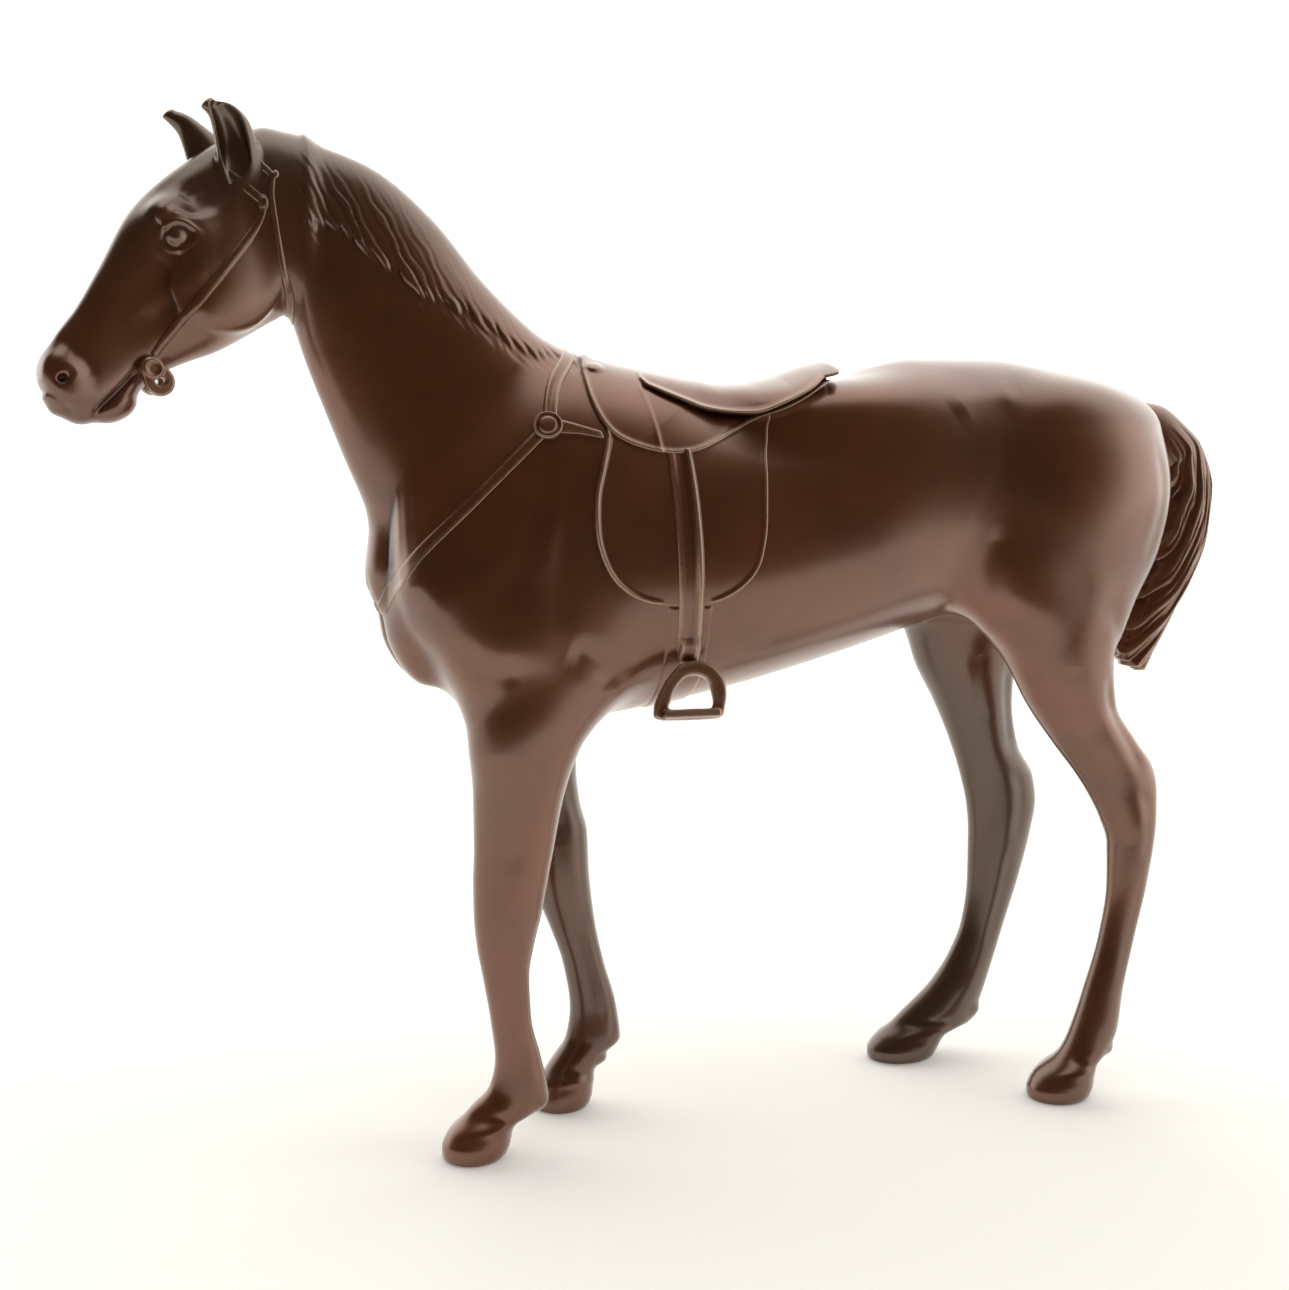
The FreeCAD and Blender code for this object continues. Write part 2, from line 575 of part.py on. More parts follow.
# ------------------------------------------------------------ check and write
doc.recompute()
failed = [item.Name for item in doc.Objects if "Invalid" in item.State or "Error" in item.State]
if failed:
    raise RuntimeError("did not recompute: " + ", ".join(failed))
os.makedirs("parts", exist_ok=True)
for name, item in finished.items():
    item.Label = name
    solid = item.Shape
    if solid.isNull() or not solid.isValid():
        raise RuntimeError(name + " has no valid shape")
    if len(solid.Solids) != 1:
        print("NOTE", name, "has", len(solid.Solids), "solids")
    solid.exportStep("parts/" + name + ".step")
    bounds = solid.BoundBox
    print(name, "V", round(solid.Volume, 1), "x", round(bounds.XMin, 1), round(bounds.XMax, 1),
          "y", round(bounds.YMin, 1), round(bounds.YMax, 1), "z", round(bounds.ZMin, 1),
          round(bounds.ZMax, 1))
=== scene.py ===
import math

import bpy
import numpy as np
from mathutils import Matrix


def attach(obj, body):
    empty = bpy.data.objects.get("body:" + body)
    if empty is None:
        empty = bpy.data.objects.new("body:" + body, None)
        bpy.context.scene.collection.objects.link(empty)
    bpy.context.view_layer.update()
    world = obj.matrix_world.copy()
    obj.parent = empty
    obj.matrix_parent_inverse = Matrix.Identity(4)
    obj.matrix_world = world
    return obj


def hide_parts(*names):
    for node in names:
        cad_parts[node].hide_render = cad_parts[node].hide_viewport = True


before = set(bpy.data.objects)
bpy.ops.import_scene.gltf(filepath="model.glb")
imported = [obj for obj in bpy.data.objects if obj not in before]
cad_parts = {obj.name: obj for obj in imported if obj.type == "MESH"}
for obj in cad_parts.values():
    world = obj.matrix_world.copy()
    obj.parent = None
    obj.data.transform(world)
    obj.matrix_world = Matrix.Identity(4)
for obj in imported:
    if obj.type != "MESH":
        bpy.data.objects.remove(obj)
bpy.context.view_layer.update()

import openvdb
from mathutils import Vector

MM = 0.001
SIDES = ((-1, "left"), (1, "right"))


# ------------------------------------------------------------ solid fields
# Every bronze form is a signed distance field sampled on a block of points,
# in millimetres in the row's frame: -X head, -Y the horse's left, +Z up.
class Block:
    """A box of sample points, kept as broadcastable axes."""

    def __init__(self, low, high, step):
        self.low = np.array(low, dtype=np.float64)
        self.step = step * 1.0
        spans = [np.arange(a, b + self.step, self.step, dtype=np.float32)
                 for a, b in zip(low, high)]
        self.x = spans[0][:, None, None]
        self.y = spans[1][None, :, None]
        self.z = spans[2][None, None, :]
        self.shape = tuple(len(s) for s in spans)

    def part(self, low, high):
        """Index ranges of the samples between two corners."""
        cuts = []
        for k in range(3):
            a = int(max(0, math.floor((low[k] - self.low[k]) / self.step)))
            b = int(min(self.shape[k], math.ceil((high[k] - self.low[k]) / self.step) + 1))
            cuts.append(slice(a, max(a, b)))
        return tuple(cuts)


def side_axes(block):
    """The x and z of the samples, to be broadcast over each other."""
    return (block.x[:, 0, 0][:, None].astype(np.float64),
            block.z[0, 0, :][None, :].astype(np.float64))


def pchip(t, values, at):
    """Shape-keeping cubic through the rows of values at t."""
    h = np.diff(t)[:, None]
    d = np.diff(values, axis=0) / h
    m = np.zeros_like(values)
    same = d[:-1] * d[1:] > 0
    w1 = 2 * h[1:] + h[:-1]
    w2 = h[1:] + 2 * h[:-1]
    safe = np.where(same, d[:-1], 1.0), np.where(same, d[1:], 1.0)
    m[1:-1] = np.where(same, (w1 + w2) / (w1 / safe[0] + w2 / safe[1]), 0.0)
    m[0], m[-1] = d[0], d[-1]
    k = np.clip(np.searchsorted(t, at) - 1, 0, len(t) - 2)
    hk = h[k]
    s = ((at - t[k])[:, None]) / hk
    return ((1 + 2 * s) * (1 - s) ** 2 * values[k] + s * (1 - s) ** 2 * hk * m[k]
            + s * s * (3 - 2 * s) * values[k + 1] + s * s * (s - 1) * hk * m[k + 1])


def tube(block, stations, cap=(3.0, 3.0), count=110):
    """Distance to a limb drawn as ellipses between two side-view points.
    A station is x, z of one edge, x, z of the other, half width, middle y."""
    rows = np.array(stations, dtype=np.float64)
    mids = (rows[:, 0:2] + rows[:, 2:4]) / 2
    t = np.concatenate([[0], np.cumsum(np.linalg.norm(np.diff(mids, axis=0), axis=1))])
    rows = pchip(t, rows, np.linspace(0, t[-1], count))
    mid = (rows[:, 0:2] + rows[:, 2:4]) / 2
    half = (rows[:, 2:4] - rows[:, 0:2]) / 2
    size = np.linalg.norm(half, axis=1)
    u = half / size[:, None]
    n = np.stack([u[:, 1], -u[:, 0]], axis=1)
    flow = np.gradient(mid, axis=0)
    n *= np.sign((n * flow).sum(axis=1))[:, None]
    px = block.x[:, 0, 0][:, None]
    pz = block.z[0, 0, :][None, :]
    q = np.empty((count,) + (px.shape[0], pz.shape[1]), dtype=np.float32)
    for i in range(count):
        q[i] = (px - mid[i, 0]) * n[i, 0] + (pz - mid[i, 1]) * n[i, 1]
    k = np.clip((q > 0).sum(axis=0) - 1, 0, count - 2)
    q0 = np.take_along_axis(q, k[None], 0)[0]
    q1 = np.take_along_axis(q, k[None] + 1, 0)[0]
    f = np.clip(q0 / np.where(abs(q0 - q1) < 1e-6, 1e-6, q0 - q1), 0, 1)

    def mix(column):
        return column[k] * (1 - f) + column[k + 1] * f

    along = (px - mix(mid[:, 0])) * mix(u[:, 0]) + (pz - mix(mid[:, 1])) * mix(u[:, 1])
    h = mix(size)
    w = mix(rows[:, 4])
    over = np.maximum(-q[0], 0) / cap[0] + np.maximum(q[-1], 0) / cap[1]
    capr = np.where(q[0] < 0, cap[0], cap[1])
    tt = (along / h)[:, None, :]
    w = w[:, None, :]
    yy = (block.y - mix(rows[:, 5])[:, None, :]) / w
    e = over[:, None, :]
    r = np.sqrt(yy * yy + tt * tt + e * e)
    g = np.sqrt((yy / w) ** 2 + (tt / h[:, None, :]) ** 2 + (e / capr[:, None, :]) ** 2) + 1e-6
    return ((r - 1) * r / g).astype(np.float32)


def join(a, b, k):
    """Smooth union."""
    h = np.maximum(k - np.abs(a - b), 0) / k
    return np.minimum(a, b) - h * h * k / 4


def join_max(a, b, k):
    """Smooth intersection."""
    return -join(-a, -b, k)


def carve(a, b, k):
    """Smooth difference a minus b."""
    return -join(-a, b, k)


def blob(block, field, centre, radii, k, lean=0.0, cut=False):
    """Join (or cut) a soft ellipsoid; lean turns it in the side view, in
    degrees."""
    reach = max(radii) + k + 2
    part = block.part([c - reach for c in centre], [c + reach for c in centre])
    x = block.x[part[0]] - centre[0]
    y = block.y[:, part[1]] - centre[1]
    z = block.z[:, :, part[2]] - centre[2]
    a = math.radians(lean)
    x, z = x * math.cos(a) + z * math.sin(a), -x * math.sin(a) + z * math.cos(a)
    r = np.sqrt((x / radii[0]) ** 2 + (y / radii[1]) ** 2 + (z / radii[2]) ** 2)
    g = np.sqrt((x / radii[0] ** 2) ** 2 + (y / radii[1] ** 2) ** 2
                + (z / radii[2] ** 2) ** 2) + 1e-6
    shape = (r - 1) * r / g
    if cut:
        field[part] = carve(field[part], shape, k)
    else:
        field[part] = join(field[part], shape, k)


def path_distance(px, pz, points):
    """Distance in the side view to a polyline, and how far along it (0..1)."""
    pts = np.array(points, dtype=np.float64)
    lengths = np.linalg.norm(np.diff(pts, axis=0), axis=1)
    total = lengths.sum()
    best = np.full(np.broadcast(px, pz).shape, 1e9, dtype=np.float32)
    where = np.zeros_like(best)
    done = 0.0
    for a, b, ln in zip(pts[:-1], pts[1:], lengths):
        t = np.clip(((px - a[0]) * (b[0] - a[0]) + (pz - a[1]) * (b[1] - a[1])) / ln ** 2, 0, 1)
        d = np.hypot(px - a[0] - t * (b[0] - a[0]), pz - a[1] - t * (b[1] - a[1]))
        closer = d < best
        best = np.where(closer, d, best)
        where = np.where(closer, (done + t * ln) / total, where)
        done += ln
    return best, where


def catmull_rom(p0, p1, p2, p3, count):
    """Points of the spline from p1 up to, but not at, p2."""
    return [0.5 * (2 * p1 + (p2 - p0) * t + (2 * p0 - 5 * p1 + 4 * p2 - p3) * t * t
                   + (3 * p1 - p0 - 3 * p2 + p3) * t ** 3)
            for t in (k / count for k in range(count))]


def curve(points, count=5):
    """Open smooth curve through side-view points."""
    pts = np.array(points, dtype=np.float64)
    pts = np.vstack([2 * pts[0] - pts[1], pts, 2 * pts[-1] - pts[-2]])
    out = []
    for corners in zip(pts[:-3], pts[1:-2], pts[2:-1], pts[3:]):
        out += catmull_rom(*corners, count)
    out.append(pts[-2])
    return [tuple(p) for p in out]


def smooth_outline(points, count=8):
    """Closed smooth curve through side-view points."""
    pts = np.array(points, dtype=np.float64)
    n = len(pts)
    out = []
    for i in range(n):
        out += catmull_rom(pts[i - 1], pts[i], pts[(i + 1) % n], pts[(i + 2) % n], count)
    return [tuple(p) for p in out]


def stroke(block, field, points, width, depth, taper=True):
    """Draw a groove (depth > 0) or a ridge (depth < 0) in the side view, on
    both sides of the horse."""
    points = curve(points)
    xs = [p[0] for p in points]
    zs = [p[1] for p in points]
    pad = width * 2.6
    part = block.part([min(xs) - pad, -60, min(zs) - pad], [max(xs) + pad, 60, max(zs) + pad])
    px = block.x[part[0]][:, 0, 0][:, None]
    pz = block.z[:, :, part[2]][0, 0][None, :]
    if px.size == 0 or pz.size == 0:
        return
    d, t = path_distance(px, pz, points)
    amount = depth * np.exp(-(d / width) ** 2)
    if taper:
        amount = amount * np.clip(np.minimum(t, 1 - t) * 5 + 0.15, 0, 1)
    field[part] += amount[:, None, :].astype(np.float32)


def inside_path(px, pz, points):
    """Signed side-view distance to a closed outline, negative inside."""
    pts = list(points) + [points[0]]
    d, _ = path_distance(px, pz, pts)
    inside = np.zeros(d.shape, dtype=bool)
    for (x0, z0), (x1, z1) in zip(pts[:-1], pts[1:]):
        if z0 == z1:
            continue
        crosses = (pz > min(z0, z1)) & (pz <= max(z0, z1))
        inside ^= crosses & (px < x0 + (pz - z0) * (x1 - x0) / (z1 - z0))
    return np.where(inside, -d, d)


def sample(values, at):
    """Trilinear values of a block array at index positions."""
    i = np.clip(at.astype(np.int32), 0, np.array(values.shape) - 2)
    f = (at - i).astype(np.float32)
    out = np.zeros(len(at), dtype=np.float32)
    for dx in (0, 1):
        for dy in (0, 1):
            for dz in (0, 1):
                w = (np.abs(1 - dx - f[:, 0]) * np.abs(1 - dy - f[:, 1])
                     * np.abs(1 - dz - f[:, 2]))
                out += w * values[i[:, 0] + dx, i[:, 1] + dy, i[:, 2] + dz]
    return out


def sample_all(slopes, at):
    """Values of the three slopes at index positions."""
    return np.stack([sample(c, at) for c in slopes], axis=1).astype(np.float64)


def unit(vectors):
    """The same directions at length one."""
    return vectors / np.maximum(np.linalg.norm(vectors, axis=1), 1e-6)[:, None]


def soften(values, radius):
    """Box blur along the three axes."""
    n = max(1, int(round(radius)))
    for axis in range(3):
        pad = [(0, 0)] * 3
        pad[axis] = (n + 1, n)
        total = np.cumsum(np.pad(values, pad, mode="edge"), axis=axis, dtype=np.float32)
        up = [slice(None)] * 3
        down = [slice(None)] * 3
        up[axis] = slice(2 * n + 1, None)
        down[axis] = slice(0, -(2 * n + 1))
        values = (total[tuple(up)] - total[tuple(down)]) / (2 * n + 1)
    return values


def mesh_from(block, field, node, slot, bend=False, move=None, skin=None, wear_and_shade=0.0):
    """Polygonise a field and stand it in for a CAD node.  Points are pulled
    onto the zero surface, shading follows the field, and the local relief
    (bulge or hollow) is kept as an attribute for the patina, which darkens the hollows partly as
    patina and partly as painted shade and pales the bulges as wear; an offset added to the relief
    gives more wear when raised and painted shade when lowered.  Where two castings meet, both take
    their shading from the skin they share."""
    name = node + "_cast"
    f = np.clip(field, -3, 3).astype(np.float32)
    for axis in range(3):
        for end in (0, -1):
            index = [slice(None)] * 3
            index[axis] = end
            f[tuple(index)] = np.maximum(f[tuple(index)], 0.3)
    grid = openvdb.FloatGrid(3.0)
    grid.copyFromArray(np.ascontiguousarray(f), tolerance=0.0)
    verts, quads = grid.convertToQuads(isovalue=0.0)
    if len(verts) == 0:
        raise RuntimeError(name + " came out empty")
    verts = verts.astype(np.float64)
    slopes = np.gradient(f)
    for _ in range(2):
        g = np.stack([sample(c, verts) for c in slopes], axis=1)
        g2 = np.maximum((g * g).sum(axis=1), 0.05)
        verts -= np.clip(sample(f, verts) / g2, -0.6, 0.6)[:, None] * g
    normals = unit(sample_all(slopes, verts))
    whole = f if skin is None else np.clip(skin, -3, 3).astype(np.float32)
    bulge = sample(soften(whole, 0.9 / block.step), verts)
    if skin is not None:
        near = np.abs(sample(whole, verts)) < 0.2
        normals[near] = unit(sample_all(np.gradient(whole), verts[near]))
    verts = verts * block.step + block.low
    if move is not None:
        turn, shift = move
        verts = verts @ turn.T + shift
        normals = normals @ turn.T
    if bend:
        verts, normals = bend_head(verts, normals)
    data = bpy.data.meshes.new(name)
    data.vertices.add(len(verts))
    data.vertices.foreach_set("co", (verts * MM).astype(np.float32).ravel())
    data.loops.add(len(quads) * 4)
    data.loops.foreach_set("vertex_index", quads.astype(np.int32).ravel())
    data.polygons.add(len(quads))
    data.polygons.foreach_set("loop_start", np.arange(len(quads), dtype=np.int32) * 4)
    data.polygons.foreach_set("use_smooth", np.ones(len(quads), dtype=bool))
    data.update(calc_edges=True)
    relief = data.attributes.new("relief", "FLOAT", "POINT")
    # the offset lifts the relief for worn edges and lowers it for painted shade
    relief.data.foreach_set("value", (bulge / 0.9 + wear_and_shade).astype(np.float32))
    data.normals_split_custom_set_from_vertices(normals)
    data.materials.append(METALS[slot])
    piece = bpy.data.objects.new(name, data)
    bpy.context.scene.collection.objects.link(piece)
    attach(piece, "root")
    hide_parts(node)


HEAD_TURN = math.radians(20.0)
TURN_FROM = -84.0       # where the turn starts, at the throat latch
TURN_OVER = 12.0        # length over which it grows
TURN_STEP = 0.05        # spacing of its table


def bend_head(verts, normals):
    """The head is drawn straight ahead and then turned to the left, the turn
    growing over a short length in front of the throat latch."""
    def summed(values):
        return np.concatenate([[0], np.cumsum((values[1:] + values[:-1]) / 2)]) * TURN_STEP

    d = np.maximum(TURN_FROM - verts[:, 0], 0)
    s = np.linspace(0, 62, 1241)
    u = np.clip(s / TURN_OVER, 0, 1)
    angle = HEAD_TURN * u * u * (3 - 2 * u)
    gone = summed(np.cos(angle))
    aside = summed(np.sin(angle))
    th = np.interp(d, s, angle)
    x = np.where(d > 0, TURN_FROM - np.interp(d, s, gone), verts[:, 0]) - np.sin(th) * verts[:, 1]
    y = -np.interp(d, s, aside) + np.cos(th) * verts[:, 1]
    nx = np.cos(th) * normals[:, 0] - np.sin(th) * normals[:, 1]
    ny = np.sin(th) * normals[:, 0] + np.cos(th) * normals[:, 1]
    return np.stack([x, y, verts[:, 2]], axis=1), np.stack([nx, ny, normals[:, 2]], axis=1)


# ------------------------------------------------------------- the stations
# Each row is x, z of the lower or front edge, x, z of the upper or rear edge,
# the half width and the middle y, in millimetres.
BARREL = [
    (-67.0, 113, -66.4, 124, 5, 0),
    (-65, 106.5, -65, 133, 11, 0),
    (-60, 98.5, -58, 142, 17, 0),
    (-50, 91.5, -46, 151.5, 21, 0),
    (-35, 87.3, -32, 160.5, 23.2, 0),
    (-16, 89.6, -16, 158, 25.2, 0),
    (6, 93.9, 6, 155, 26.2, 0),
    (30, 100.2, 30, 160.2, 26.2, 0),
    (50, 106.2, 49, 165.2, 25.4, 0),
    (70, 112, 68, 165.6, 25, 0),
    (86, 114, 86, 163, 23.5, 0),
    (96, 117, 98, 160, 19.5, 0),
    (103, 124, 106, 156, 13.5, 0),
    (106.5, 134, 110, 151, 8, 0),
]
NECK = [
    (-65.5, 107, -2, 158, 20, 0),
    (-66.8, 118, -22, 160.8, 17.5, 0),
    (-69.8, 130.4, -30, 163.8, 14.6, 0),
    (-74.6, 142.6, -38, 169.7, 12.2, 0),
    (-78.5, 152.6, -46.7, 178, 10.6, 0),
    (-81.7, 161.2, -56.7, 189.7, 9.5, 0),
    (-83.6, 167.3, -68.6, 198.8, 8.7, 0),
    (-84.6, 171, -80, 202.6, 8.2, 0),
    (-86.2, 171.6, -88.5, 204.3, 8.0, -0.4),
]
HEAD = [
    (-82.5, 170.5, -82, 203, 8.2, 0),
    (-84.3, 170.6, -87.4, 204, 8.3, 0),
    (-87.5, 168.6, -95.3, 202.2, 8.3, 0),
    (-92.6, 165.4, -104.7, 196.1, 8.2, 0),
    (-99.2, 161.7, -114.6, 186.2, 7.5, 0),
    (-105.4, 159.2, -120.3, 175.7, 6.0, 0),
    (-110.8, 156.4, -124.7, 168, 5.0, 0),
    (-114.6, 152.8, -128.5, 162.7, 4.7, 0),
    (-118.6, 149.8, -130.8, 158.2, 4.6, 0),
    (-122.8, 148.4, -131.3, 154.9, 4.1, 0),
    (-126.4, 148.9, -130.6, 152.6, 3.2, 0),
]
FORE_LEFT = [
    (-58.2, -0.1, -45.4, -0.1, 6.2, -11.5),
    (-58.2, 2.4, -44.2, 2.4, 6.5, -11.5),
    (-55.9, 6.4, -43.4, 6.0, 5.7, -11.5),
    (-52.2, 10.2, -38.4, 8.6, 4.7, -11.5),
    (-48.4, 13.8, -36.2, 12.2, 4.5, -11.5),
    (-47.1, 19.8, -37.6, 19.4, 3.9, -11.5),
    (-48, 28, -39.6, 28, 3.6, -11.6),
    (-49.5, 37, -40, 37, 3.8, -11.8),
    (-50.7, 43.5, -39, 43.5, 4.5, -12),
    (-51.3, 50, -37.4, 50, 5.3, -12.1),
    (-51.4, 57, -36.1, 57, 5.4, -12.3),
    (-51.2, 63.4, -34.9, 63.4, 5.7, -12.5),
    (-51.3, 73.7, -33, 73.7, 6.8, -12.9),
    (-51.7, 83, -29.9, 83, 8.2, -13.3),
    (-53, 91, -25, 91, 9.4, -13),
    (-57, 101, -19, 101, 10.2, -12),
    (-60, 114, -20, 114, 10.5, -10),
    (-57, 127, -25, 127, 9, -9),
]
FORE_RIGHT = [
    (-35, -0.1, -22.6, -0.1, 5.9, 8.7),
    (-34.6, 2.6, -21.6, 2.6, 6.2, 8.7),
    (-33.2, 7, -21.3, 6.6, 5.5, 8.8),
    (-30, 11.2, -19.4, 10.6, 4.6, 9),
    (-27.2, 15.4, -14.9, 14.4, 4.5, 9.3),
    (-26.2, 21.8, -15.7, 21.6, 3.9, 9.8),
    (-27.6, 31.6, -18.4, 31.6, 3.6, 10.4),
    (-30.1, 39.2, -20.0, 39.2, 3.8, 10.9),
    (-32.4, 45.2, -20.8, 45.2, 4.6, 11.3),
    (-34, 52, -21.4, 52, 5.2, 11.7),
    (-35, 61, -21.7, 61, 5.5, 12.2),
    (-36.8, 68, -23.3, 68, 6.1, 12.7),
    (-39, 75, -24, 75, 6.9, 12.9),
    (-42.5, 83, -23.5, 83, 8.2, 13.3),
    (-47, 91, -21.5, 91, 9.4, 13),
    (-54, 101, -18.5, 101, 10.2, 12),
    (-59, 114, -20, 114, 10.5, 10),
    (-57, 127, -25, 127, 9, 9),
]
HIND_LEFT = [
    (73, -0.1, 87, -0.1, 6.1, -18.2),
    (73.2, 2.6, 88.4, 2.6, 6.4, -18.2),
    (76.6, 6.8, 88.8, 6.4, 5.7, -18.2),
    (81.8, 10.8, 91.6, 9.4, 4.7, -18.1),
    (84.2, 15.6, 94.5, 14.2, 4.6, -18),
    (87.2, 24.0, 96.1, 23.4, 3.9, -17.8),
    (90.9, 35.5, 99.1, 35.3, 3.5, -17.4),
    (93, 47.2, 102.1, 47.2, 4, -17),
    (93.2, 56.3, 103.8, 56.6, 4.8, -16.6),
    (91.2, 62.4, 104.6, 63, 5.1, -16.3),
    (88.2, 68, 104.8, 69, 5.1, -16),
    (84.8, 73, 103.8, 73.8, 5.3, -15.8),
    (79.4, 79.7, 99.2, 80.2, 5.9, -15.6),
    (72.6, 89, 93.6, 89, 7.2, -15.3),
    (68.4, 96.7, 92.8, 96.7, 8.6, -15),
    (62.5, 106, 95.8, 106, 10.2, -14.4),
    (57.5, 114, 99.8, 114, 11.5, -13.4),
    (57, 124, 104, 124, 12.2, -12.6),
    (60, 136, 106.5, 136, 11.8, -12),
    (68, 150, 104, 150, 8.5, -11),
]
HIND_RIGHT = [
    (48.8, -0.1, 65.4, -0.1, 6.2, 14.2),
    (48.9, 2.6, 66.8, 2.6, 6.5, 14.2),
    (52.4, 6.4, 69.2, 5.4, 5.8, 14.2),
    (58.4, 11.4, 75.8, 7.4, 4.7, 14.3),
    (65.2, 17.2, 78.4, 13.2, 4.6, 14.4),
    (70, 23.6, 81.2, 20.8, 3.9, 14.5),
    (73.6, 31.8, 84.4, 30.4, 3.6, 14.6),
    (75.1, 42.2, 88.4, 42.2, 4.1, 14.8),
    (75.3, 54, 91.6, 54, 4.9, 15),
    (74.6, 61, 92.8, 61, 5.1, 15),
    (73, 67.5, 91.8, 67.5, 5.2, 15),
    (70.3, 75.6, 87.4, 75.2, 5.6, 15),
    (65.4, 86.7, 85.4, 86.7, 7.1, 15),
    (60.4, 96, 86, 96, 8.6, 15),
    (57.5, 105, 91, 105, 10.2, 14.4),
    (54.5, 114, 97.5, 114, 11.5, 13.4),
    (55, 124, 103, 124, 12.2, 12.6),
    (60, 136, 106.5, 136, 11.8, 12),
    (68, 150, 104, 150, 8.5, 11),
]
TAIL = [
    (105, 146, 108.5, 157.6, 4.6, 0),
    (108.5, 144.8, 114.3, 156.7, 4.7, 0),
    (112, 142.6, 120.4, 152.9, 5.0, 0),
    (114.2, 139.2, 125.7, 147.5, 5.3, 0),
    (114.8, 134, 128.7, 137, 5.6, 0),
    (113.4, 126.4, 127.8, 126, 5.7, 0),
    (110, 116.2, 122.9, 114.4, 5.5, 0),
    (106.6, 106.2, 116.8, 103.6, 4.8, 0),
    (105.0, 97.4, 112.2, 94.4, 3.6, 0),
]
# Stations, level of the joint with the trunk, and softness of the blend.
LEGS = {"fore_leg_left": (FORE_LEFT, 88.0, 9.0), "fore_leg_right": (FORE_RIGHT, 88.0, 9.0),
        "hind_leg_left": (HIND_LEFT, 98.0, 10.0), "hind_leg_right": (HIND_RIGHT, 98.0, 10.0)}


# ------------------------------------------------------------ the anatomy
def near_box(block, stations, reach=12.0):
    """Whether a limb comes near a block."""
    rows = np.array(stations)
    half = rows[:, 4].max() + reach
    low = [rows[:, [0, 2]].min() - reach, rows[:, 5].min() - half, rows[:, [1, 3]].min() - reach]
    high = [rows[:, [0, 2]].max() + reach, rows[:, 5].max() + half, rows[:, [1, 3]].max() + reach]
    ends = (block.x.ravel()[[0, -1]], block.y.ravel()[[0, -1]], block.z.ravel()[[0, -1]])
    return all(low[k] < ends[k][1] and high[k] > ends[k][0] for k in range(3))


LEG_CAPS = (2.0, 7.0)      # rounding below the sole and above the last station
BARREL_CAPS = (3.0, 3.0)
NECK_CAPS = (10.0, 8.0)
HEAD_CAPS = (2.0, 2.0)
OVERLAP = 0.8              # how far a casting runs past its joint, unseen
NECK_GROOVES = [
    ([(-79, 171), (-75.5, 162), (-72, 152), (-68.5, 141), (-64, 129)], 2.8, 0.5),
    ([(-85, 184), (-79, 186.5), (-71.5, 180), (-63, 169), (-55, 158), (-47, 149)], 4.0, 0.4),
]
SHOULDER_FOLDS = [
    ([(-41, 141), (-45, 134.5), (-49, 128), (-54, 121)], 2.3, 0.5),
    ([(-37, 141), (-39.8, 133), (-43.5, 124), (-47, 114)], 2.2, 0.5),
    ([(-33.5, 140), (-34.2, 130), (-34.8, 119), (-36, 108)], 2.2, 0.45),
    ([(-39, 139), (-42.6, 131), (-47, 122)], 1.3, -0.28),
    ([(-35.2, 139), (-37.2, 129), (-40, 117)], 1.4, -0.28),
]


def body_field(block):
    """Trunk, neck and leg roots as one continuous skin."""
    field = tube(block, BARREL, cap=BARREL_CAPS)
    if near_box(block, NECK):
        field = join(field, tube(block, NECK, cap=NECK_CAPS), 9.0)
    for stations, level, k in LEGS.values():
        if near_box(block, stations):
            field = join(field, tube(block, stations, cap=LEG_CAPS), k)
    for side in (-1, 1):
        # point of the shoulder, arm and chest
        blob(block, field, (-55.5, side * 14, 115), (8, 6.5, 9.5), 7, lean=-20)
        blob(block, field, (-45, side * 15.5, 106.5), (10, 6.2, 7.5), 7, lean=35)
        if side < 0:
            blob(block, field, (-44, side * 16.4, 88), (5.6, 4.6, 12), 5, lean=-19)
        # point of the hip, thigh, stifle and buttock
        blob(block, field, (81, side * 15.5, 139), (18, 9.5, 17), 8)
        blob(block, field, (66, side * 17.2, 116), (9, 5.8, 11), 8, lean=15)
        blob(block, field, (97, side * 11, 131), (8, 8.5, 16), 6, lean=-8)
        blob(block, field, (30, side * 12, 150), (26, 9, 8), 7)
        blob(block, field, (-60.3, side * 5.4, 104.8), (5.2, 5.0, 9.5), 5, lean=25)
    blob(block, field, (-65.5, 0, 106), (4, 1.6, 9), 3, lean=20, cut=True)
    for points, width, depth in NECK_GROOVES + SHOULDER_FOLDS:
        stroke(block, field, points, width * 1.25, depth * 0.6)
    strokes = [
        ([(62, 106), (59.5, 113), (58.5, 121), (60, 129)], 2.8, 0.5),
        ([(98.6, 146), (100.2, 138), (99.6, 130), (97, 120)], 1.8, 0.3),
        ([(-21, 96), (-27.5, 101.5), (-34, 104.5)], 3.0, 0.55),
        ([(-64, 117), (-62.6, 110), (-60.4, 103.5), (-57.2, 96), (-54.6, 90)], 2.8, 1.2),
        ([(-56, 105), (-50, 100.5), (-43, 100.5)], 2.2, 0.4),
        ([(49, 152), (54, 154.6), (60, 156), (66, 156)], 3.0, -0.4),
        ([(87, 112), (91, 104), (93, 97)], 2.6, 0.45),
    ]
    for points, width, depth in strokes:
        stroke(block, field, points, width, depth)
    return field


# Plane of the neck joint: below it is trunk, above it is neck.
JOINT_A = np.array([-69.0, 118.5])
JOINT_B = np.array([-24.0, 161.5])


def above_joint(block):
    """Side-view distance above the slanted neck joint, broadcast over y."""
    run = (JOINT_B - JOINT_A) / np.linalg.norm(JOINT_B - JOINT_A)
    px = block.x[:, 0, 0][:, None] - JOINT_A[0]
    pz = block.z[0, 0, :][None, :] - JOINT_A[1]
    return (pz * run[0] - px * run[1])[:, None, :].astype(np.float32)


